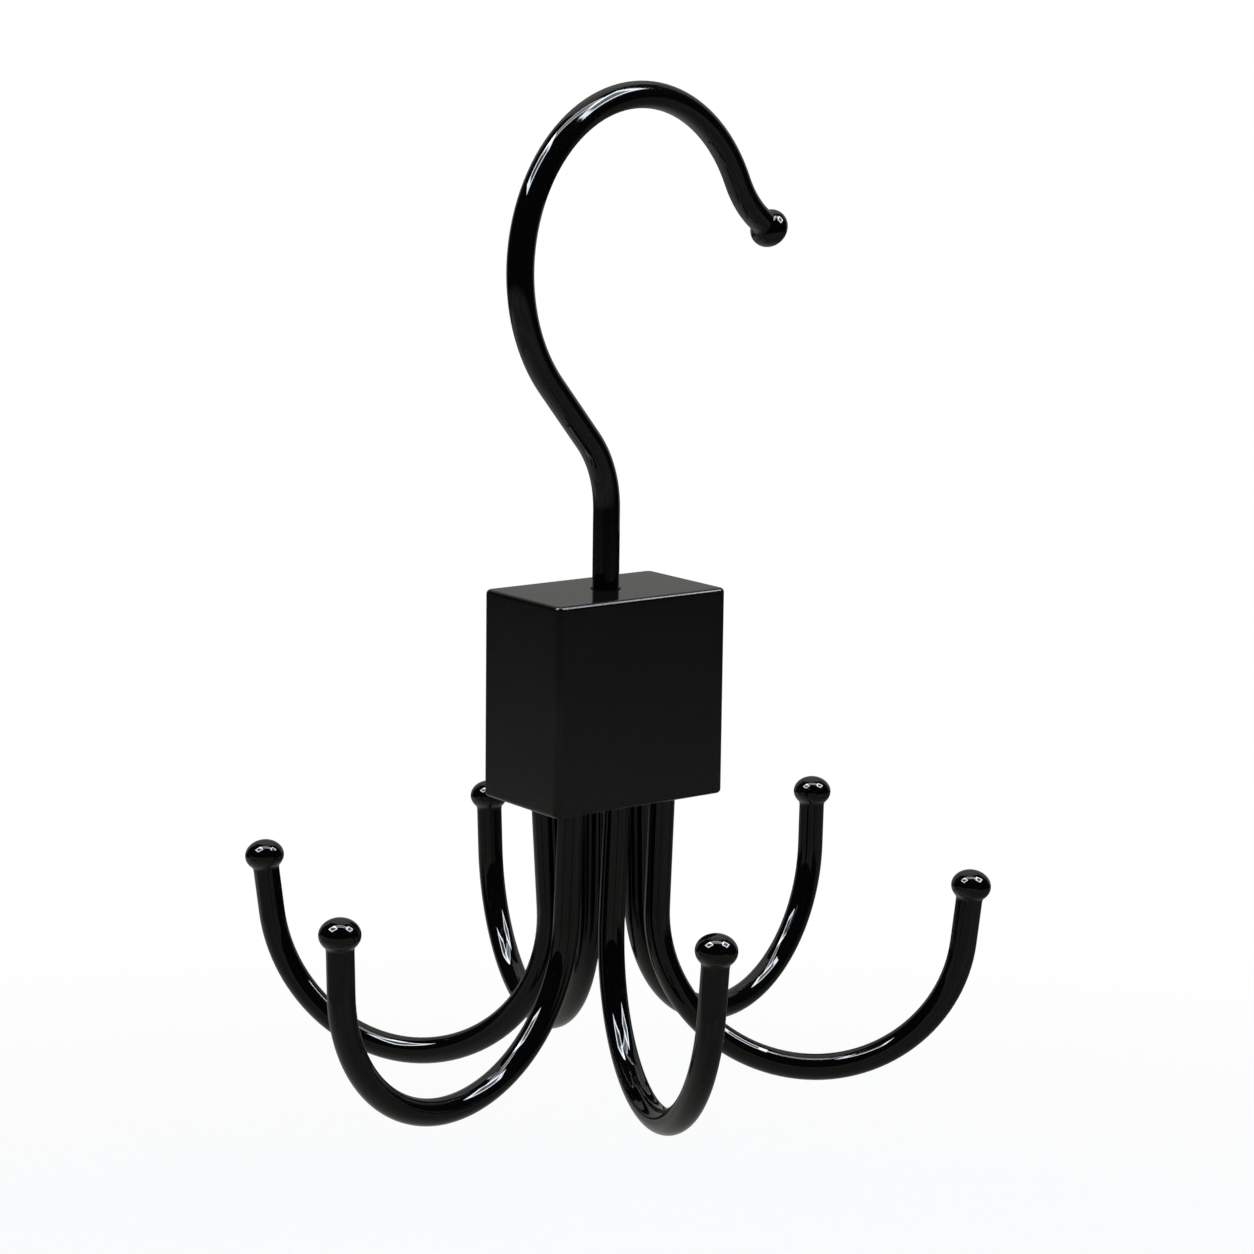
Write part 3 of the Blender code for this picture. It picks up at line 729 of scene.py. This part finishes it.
@dataclass
class ArmSet:
    """The six J-shaped wire arms with their balls."""

    wire_diameter: float = 6.0 * MM
    coat: float = 0.1 * MM
    drop: float = 27.2 * MM
    lower_radius: float = 37.1 * MM
    outer_radius: float = 35.0 * MM
    end_rise: float = radians(85.9)
    tail: float = 13.7 * MM
    tip_diameter: float = 9.3 * MM
    finishes: FinishSet = FinishSet()

    def build_arm(self, setting: ArmSetting, shank: Vector, embed: float) -> None:
        """Bends one arm and puts its ball on.

        Args:
            setting: how the arm is set.
            shank: the place of its shank's axis at the block's lower face.
            embed: how far the shank reaches up into the block.
        """
        coated = self.wire_diameter + 2 * self.coat
        tip = BallTip(self.tip_diameter, coated)
        wire = WireBender(coated / 2, (0.0, 0.0, embed), -pi / 2)
        wire.feed(embed)
        upright = set(wire.bm.verts)
        wire.feed(self.drop)
        wire.bend(self.lower_radius, pi / 2)
        wire.bend(self.outer_radius, self.end_rise)
        wire.feed(self.tail - tip.neck)
        tilt = (Matrix.Rotation(radians(setting.side), 4, "X")
                @ Matrix.Rotation(radians(-setting.lean), 4, "Y"))
        bent = [vert for vert in wire.bm.verts if vert not in upright]
        bmesh.ops.transform(wire.bm, matrix=tilt, verts=bent)
        place = (Matrix.Translation(shank + Vector((0.0, 0.0, setting.depth_share * self.wire_diameter)))
                 @ Matrix.Rotation(radians(setting.heading), 4, "Z"))
        bmesh.ops.transform(wire.bm, matrix=place, verts=wire.bm.verts)
        finish_piece(wire.bm, f"arm_wire_{setting.name}", self.finishes.wire, Body.BLOCK,
                     [f"arm_{setting.name}"])
        finish_piece(tip.build(place @ tilt @ wire.stand(tip.neck)), f"arm_ball_{setting.name}",
                     self.finishes.tip, Body.BLOCK, [f"tip_{setting.name}"])

    def build(self, block: "Block") -> None:
        """Bends all six arms.

        Args:
            block: the block that holds them.
        """
        for setting in ARM_SETTINGS:
            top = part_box(f"arm_{setting.name}")[1].z
            shank = block.shank_place(setting.column, setting.row)
            self.build_arm(setting, shank, top - block.bottom - setting.depth_share * self.wire_diameter)


@dataclass
class Block:
    """The block: moulded housing, inset base plate and two screws."""

    edge_radius: float = 1.8 * MM
    rim_radius: float = 1.0 * MM
    edge_segments: int = 8
    side_wall: float = 2.6 * MM
    top_wall: float = 4.0 * MM
    plate_corner: float = 0.6 * MM
    corner_segments: int = 5
    hole_radius: float = 3.5 * MM
    hole_lip: float = 1.0 * MM
    hole_chamfer: float = 0.25 * MM
    bush_seat_radius: float = 4.9 * MM
    shank_end_margin: float = 8.0 * MM
    shank_side_margin: float = 6.5 * MM
    screw_radius: float = 1.5 * MM
    screw_head_radius: float = 2.5 * MM
    screw_head_height: float = 1.8 * MM
    socket_width: float = 2.4 * MM
    socket_depth: float = 1.0 * MM
    rim_chamfer: float = 0.3 * MM
    sides: int = 64
    boss_radius: float = 3.2 * MM
    boss_length: float = 12.2 * MM
    boss_root: float = 0.5 * MM
    finishes: FinishSet = FinishSet()

    def __post_init__(self) -> None:
        """Reads the block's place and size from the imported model."""
        self.low, self.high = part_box("block_housing")
        self.plate_low, self.plate_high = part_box("base_plate")
        self.centre = (self.low + self.high) / 2
        self.bottom = self.low.z
        self.top = self.high.z
        self.screws = {name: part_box(f"cover_screw_{name}") for name in ("left", "right")}

    def shank_place(self, column: int, row: int) -> Vector:
        """Place of an arm's shank at the block's lower face.

        Args:
            column: its column in the grid, from the middle.
            row: its row in the grid, from the middle.

        Returns:
            The place, in the frame.
        """
        size = self.plate_high - self.plate_low
        return Vector((self.centre.x + column * (size.x / 2 - self.shank_end_margin),
                       self.centre.y + row * (size.y / 2 - self.shank_side_margin), self.bottom))

    def housing_bmesh(self) -> bmesh.types.BMesh:
        """Moulds the housing about the origin in plan, at its own height.

        Returns:
            The closed shell, open below and bored for the hook, and two boss tubes with their
            roots sunk in its ceiling.
        """
        size = self.high - self.low
        bm = bmesh.new()
        add_box(bm, size, self.centre.z)
        round_edges(bm, [edge for edge in bm.edges if rise(edge) > size.z / 2], self.edge_radius,
                    self.edge_segments)
        round_edges(bm, [edge for edge in bm.edges if rise(edge) < size.z / 2], self.rim_radius,
                    self.edge_segments)
        ceiling_level = self.top - self.top_wall
        mouth = level_face(bm, self.bottom)
        mouth_edges = list(mouth.edges)
        bmesh.ops.delete(bm, geom=[mouth], context="FACES_ONLY")
        room_size = Vector((size.x - 2 * self.side_wall, size.y - 2 * self.side_wall,
                            ceiling_level - self.bottom))
        room = add_box(bm, room_size, (self.bottom + ceiling_level) / 2)
        corners = {edge for vert in room for edge in vert.link_edges if rise(edge) > size.z / 2}
        round_edges(bm, corners, self.plate_corner, self.corner_segments)
        room_foot = level_face(bm, self.bottom)
        mouth_edges += room_foot.edges
        bmesh.ops.delete(bm, geom=[room_foot], context="FACES_ONLY")
        bmesh.ops.triangle_fill(bm, use_beauty=True, edges=mouth_edges)
        ceiling, roof = level_face(bm, ceiling_level), level_face(bm, self.top)
        lip = self.top - self.hole_lip
        upper, lower = wall(bm, [
            (self.hole_radius + self.hole_chamfer, self.top),
            (self.hole_radius, self.top - self.hole_chamfer), (self.hole_radius, lip),
            (self.bush_seat_radius, lip), (self.bush_seat_radius, ceiling_level),
        ], self.sides)
        for face, hole in ((roof, upper), (ceiling, lower)):
            outline = list(face.edges)
            bmesh.ops.delete(bm, geom=[face], context="FACES_ONLY")
            bmesh.ops.triangle_fill(bm, use_beauty=True, edges=outline + hole)
        for low, high in self.screws.values():
            place = (low + high) / 2 - self.centre
            boss_end = ceiling_level - self.boss_length
            root = ceiling_level + self.boss_root
            wall(bm, [
                (self.boss_radius, root), (self.boss_radius, boss_end), (self.screw_radius, boss_end),
                (self.screw_radius, root), (self.boss_radius, root),
            ], self.sides // 2, (place.x, place.y))
        return bm

    def screw_bmesh(self, low: float, high: float) -> bmesh.types.BMesh:
        """Turns one cap screw with a hexagonal socket in its head, which faces down.

        Args:
            low: the height of the head's face.
            high: the height of the screw's point.

        Returns:
            The screw on the origin's axis.
        """
        bm = bmesh.new()
        round_off = self.rim_chamfer
        head_top = low + self.screw_head_height
        head_face, point = wall(bm, [
            (self.screw_head_radius - round_off, low), (self.screw_head_radius, low + round_off),
            (self.screw_head_radius, head_top), (self.screw_radius, head_top),
            (self.screw_radius, high - self.screw_radius / 2), (self.screw_radius / 2, high),
        ], self.sides // 2)
        flat_radius = self.socket_width / 2 / cos(pi / 6)
        mouth, seat = wall(bm, [(flat_radius, low), (flat_radius, low + self.socket_depth)], 6)
        bmesh.ops.triangle_fill(bm, use_beauty=True, edges=head_face + mouth)
        bmesh.ops.holes_fill(bm, edges=seat, sides=6)
        bmesh.ops.holes_fill(bm, edges=point, sides=self.sides)
        return bm

    def build(self) -> None:
        """Makes the housing and the screws."""
        plan = (self.centre.x, self.centre.y, 0.0)
        housing = self.housing_bmesh()
        bmesh.ops.translate(housing, vec=plan, verts=housing.verts)
        shell = finish_piece(housing, "housing_shell", self.finishes.housing, Body.BLOCK,
                             ["block_housing"])
        even = shell.modifiers.new("even_normals", "WEIGHTED_NORMAL")
        even.keep_sharp = True
        for name, (low, high) in self.screws.items():
            screw = self.screw_bmesh(low.z, high.z)
            middle = (low + high) / 2
            bmesh.ops.translate(screw, vec=(middle.x, middle.y, 0.0), verts=screw.verts)
            finish_piece(screw, f"screw_{name}", self.finishes.steel, Body.BLOCK,
                         [f"cover_screw_{name}"])


@dataclass
class InnerWorks:
    """The rigid nodes that stay as they are: the base plate, and what is hidden in the block."""

    finishes: FinishSet = FinishSet()

    def dress(self) -> None:
        """Gives each of these nodes its finish."""
        worn = {
            self.finishes.housing: ["base_plate"],
            self.finishes.carrier: ["arm_carrier"],
            self.finishes.bush: ["swivel_bush"],
            self.finishes.steel: ["cross_pin_front", "cross_pin_rear", "thrust_washer", "lock_nut"],
        }
        for finish, names in worn.items():
            for name in names:
                node = frame["nodes"][name]
                for slot in node.material_slots:
                    slot.material = finish.material()
                if not node.material_slots:
                    node.data.materials.append(finish.material())
                LOG.info("%s: dressed in %s", name, finish.name)


@dataclass(frozen=True)
class Softbox:
    """A framed softbox that looks at the hanger; its radiance counts against white paper's 1.

    Its cloth glows most along the frame, where the tubes sit, and less in the middle.
    """

    name: str
    azimuth: float
    elevation: float
    width: float
    height: float
    core_radiance: float
    frame_radiance: float
    distance: float = 1.20
    tint: str = "#eff6ff"
    # The cloth's own coordinates run from 0 to 1 each way
    middle: float = 0.5
    # Both count from the middle to the rim
    core_reach: float = 0.30
    frame_reach: float = 0.35

    def build(self, target: Vector) -> None:
        """Hangs the softbox.

        Args:
            target: the place that it looks at.
        """
        data = bpy.data.lights.new(self.name, "AREA")
        data.shape = "RECTANGLE"
        data.size = self.width
        data.size_y = self.height
        # At this power the strength below is the cloth's radiance
        data.energy = pi * self.width * self.height
        data.use_nodes = True
        tree = data.node_tree
        inside = add_node(tree, "ShaderNodeNewGeometry").outputs["Parametric"]
        parts = add_node(tree, "ShaderNodeSeparateXYZ", None, {"Vector": inside})
        from_middle = {}
        for number, axis in enumerate("XY"):
            across = add_node(tree, "ShaderNodeMath", {"operation": "SUBTRACT", 1: self.middle},
                              {0: parts.outputs[axis]})
            from_middle[number] = add_node(tree, "ShaderNodeMath", {"operation": "ABSOLUTE"},
                                           {0: across.outputs["Value"]}).outputs["Value"]
        rim = add_node(tree, "ShaderNodeMath", {"operation": "MAXIMUM"}, from_middle)
        fade = Fade(self.core_reach, self.frame_reach, self.core_radiance, self.frame_radiance)
        glow = add_node(tree, "ShaderNodeMapRange", fade.settings, {"Value": rim.outputs["Value"]})
        tree.nodes["Emission"].inputs["Color"].default_value = linear(self.tint)
        tree.links.new(glow.outputs["Result"], tree.nodes["Emission"].inputs["Strength"])
        lamp = bpy.data.objects.new(self.name, data)
        bpy.context.scene.collection.objects.link(lamp)
        away = Vector((sin(self.azimuth) * cos(self.elevation), -cos(self.azimuth) * cos(self.elevation),
                       sin(self.elevation)))
        lamp.location = target + away * self.distance
        lamp.rotation_euler = away.to_track_quat("Z", "Y").to_euler()
        lamp.visible_camera = False


@dataclass
class Studio:
    """A pale floor, a white surround, three softboxes and the dark flags that black gloss needs.

    The flags are a grey table card, a tent of dark cloth with a paler back, and a low grey skirt
    at the front left. Only gloss sees their glow, painted light in place of lamp-lit cloth: it draws
    the black zones and grey lower halves of the enamel as painted reflections, and shades nothing.
    """

    camera_azimuth: float = CAMERA_AZIMUTH
    floor_gap: float = 0.25
    floor_radius: float = 120.0
    floor_sides: int = 96
    floor_colour: str = "#f2f2f2"
    # The floor's own shade shows most below the hanger and fades to plain white further out
    floor_white: Fade = Fade(0.35, 1.10, 0.75, 1.0, soft=True)
    ambient: float = 0.10
    tent_radius: float = 2.4
    tent_sides: int = 180
    tent_rings: int = 90
    cloth_tint: str = "#fffefa"
    # Glow of each flag in gloss, where white paper is 1
    dark_glow: float = 0.012
    back_glow: float = 0.28
    high_glow: float = 0.50
    back_spread: float = radians(50)
    high_spread: float = radians(38)
    high_foot: float = radians(46)
    high_top: float = radians(80)
    table_lift: float = 2 * MM
    table_sides: int = 72
    # The card's painted glow, a pool of light that fades along the distance from the axis, and the tone that
    # multiplies it at the left rear
    table_glow: Fade = Fade(1.25, tent_radius, 0.175, 0.03)
    table_left: Fade = Fade(0.90, 1.45, 2.2, 0.85, soft=True)
    # Where it passes from right to left, with the tone of the right rear, and from front to rear
    table_side: Fade = Fade(-0.40, 0.05, 0.5, soft=True)
    table_rear: Fade = Fade(-0.30, 0.30, soft=True)
    # How it darkens far behind the hanger and far in front of it
    table_behind: Fade = Fade(0.95, 1.35, 1.0, 0.25, soft=True)
    table_front: Fade = Fade(-2.0, -1.6, 0.6, 1.0, soft=True)
    # Painted shade of soft folds, drawn into the flat card's glow
    painted_fold_noise: Pattern = Pattern(0.55, 0.0)
    painted_fold_shade: Fade = Fade(*NOISE_RANGE, 0.78, 1.22)
    # A low grey skirt stands round the front left, between these depths under the rod's seat
    skirt_radius: float = 0.22
    skirt_sides: int = 180
    skirt_left: float = radians(95)
    skirt_right: float = radians(50)
    skirt_top: float = 0.172
    skirt_foot: float = 0.25
    skirt_top_glow: float = 0.20
    skirt_foot_glow: float = 0.13

    def surround_share(self, tree: bpy.types.NodeTree) -> bpy.types.NodeSocket:
        """Adds the factor that is 1 for the rays that see the white surround.

        Args:
            tree: the node tree that takes it.

        Returns:
            The socket with the factor: camera, glossy and transmission rays.
        """
        path = add_node(tree, "ShaderNodeLightPath").outputs
        share = path["Is Camera Ray"]
        for ray in ("Is Glossy Ray", "Is Transmission Ray"):
            share = add_node(tree, "ShaderNodeMath", {"operation": "MAXIMUM"},
                             {0: share, 1: path[ray]}).outputs["Value"]
        return share

    def distance_from_axis(self, tree: bpy.types.NodeTree) -> bpy.types.NodeSocket:
        """Adds the distance in plan from the frame's upright axis.

        Args:
            tree: the node tree that takes it.

        Returns:
            The socket with the distance in metres.
        """
        place = add_node(tree, "ShaderNodeTexCoord").outputs["Object"]
        plan = add_node(tree, "ShaderNodeVectorMath", {"operation": "MULTIPLY", 1: (1.0, 1.0, 0.0)},
                        {0: place})
        return add_node(tree, "ShaderNodeVectorMath", {"operation": "LENGTH"},
                        {0: plan.outputs["Vector"]}).outputs["Value"]

    def build_world(self) -> None:
        """Makes the world: white to the eye and in gloss, and a soft fill for the rest."""
        world = bpy.data.worlds.new("white_surround")
        bpy.context.scene.world = world
        world.use_nodes = True
        tree = world.node_tree
        tree.nodes.clear()
        fill, white = [add_node(tree, "ShaderNodeBackground", {"Color": linear(WHITE), "Strength": strength})
                       for strength in (self.ambient, 1.0)]
        mixed = add_node(tree, "ShaderNodeMixShader", None, {
            0: self.surround_share(tree), 1: fill.outputs["Background"], 2: white.outputs["Background"]})
        add_node(tree, "ShaderNodeOutputWorld", None, {"Surface": mixed.outputs["Shader"]})

    def stage_material(self, name: str, kind: str, settings: dict) -> bpy.types.Material:
        """Makes a stage material of one plain shader.

        Args:
            name: the material's name.
            kind: the shader's type name.
            settings: the shader's settings.

        Returns:
            The material.
        """
        made = bpy.data.materials.new(name)
        made.use_nodes = True
        tree = made.node_tree
        tree.nodes.clear()
        shader = add_node(tree, kind, settings)
        add_node(tree, "ShaderNodeOutputMaterial", None, {"Surface": shader.outputs[0]})
        return made

    def glow_material(self, name: str, glow: float) -> bpy.types.Material:
        """Makes a stage material that glows evenly, as lit cloth does in gloss; white paper is 1."""
        return self.stage_material(name, "ShaderNodeEmission",
                                   {"Color": linear(self.cloth_tint), "Strength": glow})

    def build_floor(self, level: float) -> None:
        """Lays the pale floor, which keeps the hanger's soft shadow.

        Args:
            level: the floor's height.
        """
        paper = self.stage_material("paper_pale_matt", "ShaderNodeBsdfDiffuse",
                                    {"Color": linear(self.floor_colour)})
        tree = paper.node_tree
        glow = add_node(tree, "ShaderNodeEmission", {"Color": linear(WHITE), "Strength": 1.0})
        white = add_node(tree, "ShaderNodeMapRange", self.floor_white.settings,
                         {"Value": self.distance_from_axis(tree)})
        share = add_node(tree, "ShaderNodeMath", {"operation": "MULTIPLY"},
                         {0: self.surround_share(tree), 1: white.outputs["Result"]})
        mixed = add_node(tree, "ShaderNodeMixShader", None, {
            0: share.outputs["Value"], 1: tree.nodes["Diffuse BSDF"].outputs["BSDF"],
            2: glow.outputs["Emission"]})
        tree.links.new(mixed.outputs["Shader"], tree.nodes["Material Output"].inputs["Surface"])
        bm = bmesh.new()
        bmesh.ops.create_circle(bm, cap_ends=True, radius=self.floor_radius, segments=self.floor_sides,
                                matrix=Matrix.Translation((0.0, 0.0, level)))
        mesh_object(bm, "floor", [paper])

    def table_material(self) -> bpy.types.Material:
        """Makes the table card's painted glow: a painted pool of light near the hanger, paler at the left
        rear, with painted shade of soft folds.

        Returns:
            The material.
        """
        made = self.glow_material("card_grey_painted_glow", self.table_glow.before)
        tree = made.node_tree
        place = add_node(tree, "ShaderNodeTexCoord").outputs["Object"]
        away = self.distance_from_axis(tree)
        right, behind = level_directions(self.camera_azimuth)
        back, left = [add_node(tree, "ShaderNodeVectorMath", {"operation": "DOT_PRODUCT", 1: direction},
                               {0: place}).outputs["Value"] for direction in (behind, -right)]
        painted_fold_noise = add_node(tree, "ShaderNodeTexNoise", self.painted_fold_noise.settings, {"Vector": place}).outputs["Fac"]
        near, left_tone, rear, far_back, far_front, fold_shade_factor = [
            add_node(tree, "ShaderNodeMapRange", fade.settings, {"Value": value}).outputs["Result"]
            for fade, value in ((self.table_glow, away), (self.table_left, away), (self.table_rear, back),
                                (self.table_behind, back), (self.table_front, back),
                                (self.painted_fold_shade, painted_fold_noise))]
        side = add_node(tree, "ShaderNodeMapRange", self.table_side.settings,
                        {"Value": left, "To Max": left_tone}).outputs["Result"]
        glow = add_node(tree, "ShaderNodeMapRange", {"To Min": 1.0},
                        {"Value": rear, "To Max": side}).outputs["Result"]
        # The painted pool of light, the darkening far behind and in front, and the painted fold shade
        for factor in (far_back, near, far_front, fold_shade_factor):
            glow = add_node(tree, "ShaderNodeMath", {"operation": "MULTIPLY"},
                            {0: glow, 1: factor}).outputs["Value"]
        tree.links.new(glow, tree.nodes["Emission"].inputs["Strength"])
        return made

    def build_skirt(self, centre: Vector) -> bpy.types.Object:
        """Stands the low grey skirt round the front left; its glow is painted light, paler towards its top.

        Args:
            centre: the tent's centre.

        Returns:
            The skirt.
        """
        cloth = self.glow_material("cloth_grey_glowing", self.skirt_top_glow)
        tree = cloth.node_tree
        place = add_node(tree, "ShaderNodeTexCoord").outputs["Object"]
        height = add_node(tree, "ShaderNodeSeparateXYZ", None, {"Vector": place}).outputs["Z"]
        # The skirt's painted glow is paler towards its top
        fade = Fade(-self.skirt_foot, -self.skirt_top, self.skirt_foot_glow, self.skirt_top_glow)
        glow = add_node(tree, "ShaderNodeMapRange", fade.settings, {"Value": height})
        tree.links.new(glow.outputs["Result"], tree.nodes["Emission"].inputs["Strength"])
        bm = bmesh.new()
        bmesh.ops.create_circle(bm, cap_ends=False, radius=self.skirt_radius, segments=self.skirt_sides,
                                matrix=Matrix.Translation((centre.x, centre.y, -self.skirt_foot)))
        grown = bmesh.ops.extrude_edge_only(bm, edges=bm.edges)["geom"]
        bmesh.ops.translate(bm, vec=(0.0, 0.0, self.skirt_foot - self.skirt_top),
                            verts=[part for part in grown if isinstance(part, bmesh.types.BMVert)])
        right, behind = level_directions(self.camera_azimuth)
        bare = []
        for face in bm.faces:
            away = face.calc_center_median() - centre
            turn = atan2(away.dot(right), -away.dot(behind))
            if not -self.skirt_left < turn < self.skirt_right:
                bare.append(face)
        bmesh.ops.delete(bm, geom=bare, context="FACES")
        return mesh_object(bm, "gloss_skirt", [cloth])

    def build_flags(self, level: float, centre: Vector) -> None:
        """Hangs the flags that only gloss sees: the dark tent, the grey table card and the skirt.

        Args:
            level: the floor's height.
            centre: the tent's centre.
        """
        foot = Vector((centre.x, centre.y, level))
        bm = bmesh.new()
        bmesh.ops.create_uvsphere(bm, u_segments=self.tent_sides, v_segments=self.tent_rings,
                                  radius=self.tent_radius, matrix=Matrix.Translation(foot))
        low = [face for face in bm.faces if face.calc_center_median().z < level]
        bmesh.ops.delete(bm, geom=low, context="FACES")
        behind = level_directions(self.camera_azimuth)[1]
        for face in bm.faces:
            away = face.calc_center_median() - foot
            climb = asin(away.normalized().z)
            off = Vector((away.x, away.y, 0.0)).angle(behind)
            if self.high_foot < climb < self.high_top and off < self.high_spread:
                face.material_index = 2
            elif climb < self.high_foot and off < self.back_spread:
                face.material_index = 1
        # The tent's cloths glow evenly in gloss: painted light in place of lamp-lit cloth
        tent = mesh_object(bm, "gloss_tent", [
            self.glow_material("cloth_dark_glowing", self.dark_glow),
            self.glow_material("cloth_pale_glowing", self.back_glow),
            self.glow_material("cloth_white_glowing", self.high_glow)])
        bm = bmesh.new()
        bmesh.ops.create_circle(bm, cap_ends=True, radius=self.tent_radius, segments=self.table_sides,
                                matrix=Matrix.Translation((centre.x, centre.y, level + self.table_lift)))
        table = mesh_object(bm, "gloss_table", [self.table_material()])
        for flag in (tent, table, self.build_skirt(centre)):
            flag.visible_camera = False
            flag.visible_diffuse = False
            flag.visible_transmission = False
            flag.visible_shadow = False

    def build(self) -> None:
        """Sets up the whole studio round the hanger."""
        low, high = CAD_BOX
        centre = (low + high) / 2
        level = low.z - self.floor_gap
        self.build_world()
        self.build_floor(level)
        self.build_flags(level, centre)
        lamps = (
            Softbox("softbox_right", self.camera_azimuth + radians(88), radians(50.5), width=0.62,
                    height=0.56, core_radiance=1.9, frame_radiance=17.0),
            Softbox("softbox_left", self.camera_azimuth - radians(69), radians(57.0), width=0.62,
                    height=0.66, core_radiance=0.8, frame_radiance=17.0),
            Softbox("top_panel", self.camera_azimuth, radians(89), width=1.40,
                    height=0.28, core_radiance=2.6, frame_radiance=11.0),
        )
        for lamp in lamps:
            lamp.build(centre)
            LOG.info("%s: hung", lamp.name)


@dataclass(frozen=True)
class PhotoCamera:
    """The camera, matched to the photograph by the hanger's outlines."""

    yaw: float = CAMERA_AZIMUTH
    pitch: float = radians(10.67)
    roll: float = radians(-0.73)
    distance: float = 0.80626
    aim_left: float = 5.2 * MM
    aim_down: float = -14.96 * MM
    sensor: float = 36.0
    focal_pixels: float = 3494.3
    frame_pixels: float = 1254.0
    nearest: float = 0.01
    farthest: float = 400.0

    def build(self, target: Vector) -> None:
        """Places the camera and makes it the scene's own.

        Args:
            target: the block's centre, which the fit was made round.
        """
        right, level = level_directions(self.yaw)
        ahead = level * cos(self.pitch) - Vector((0.0, 0.0, 1.0)) * sin(self.pitch)
        down = ahead.cross(right)
        right, down = (right * cos(self.roll) + down * sin(self.roll),
                       down * cos(self.roll) - right * sin(self.roll))
        data = bpy.data.cameras.new("photo_camera")
        data.sensor_width = self.sensor
        data.lens = self.focal_pixels / self.frame_pixels * self.sensor
        data.clip_start = self.nearest
        data.clip_end = self.farthest
        camera = bpy.data.objects.new("photo_camera", data)
        bpy.context.scene.collection.objects.link(camera)
        place = target + right * self.aim_left + down * self.aim_down - ahead * self.distance
        turn = Matrix((right, -down, -ahead)).transposed().to_4x4()
        camera.matrix_world = Matrix.Translation(place) @ turn
        bpy.context.scene.camera = camera


def main() -> None:
    """Builds the block, the arms, the hook and the studio in order."""
    logging.basicConfig(level=logging.INFO, format="%(name)s %(message)s")
    bpy.context.scene.view_settings.view_transform = "Standard"
    block = Block()
    block.build()
    ArmSet().build(block)
    TopHook().build(block.top)
    InnerWorks().dress()
    Studio().build()
    PhotoCamera().build(block.centre)


if __name__ == "__main__":
    main()
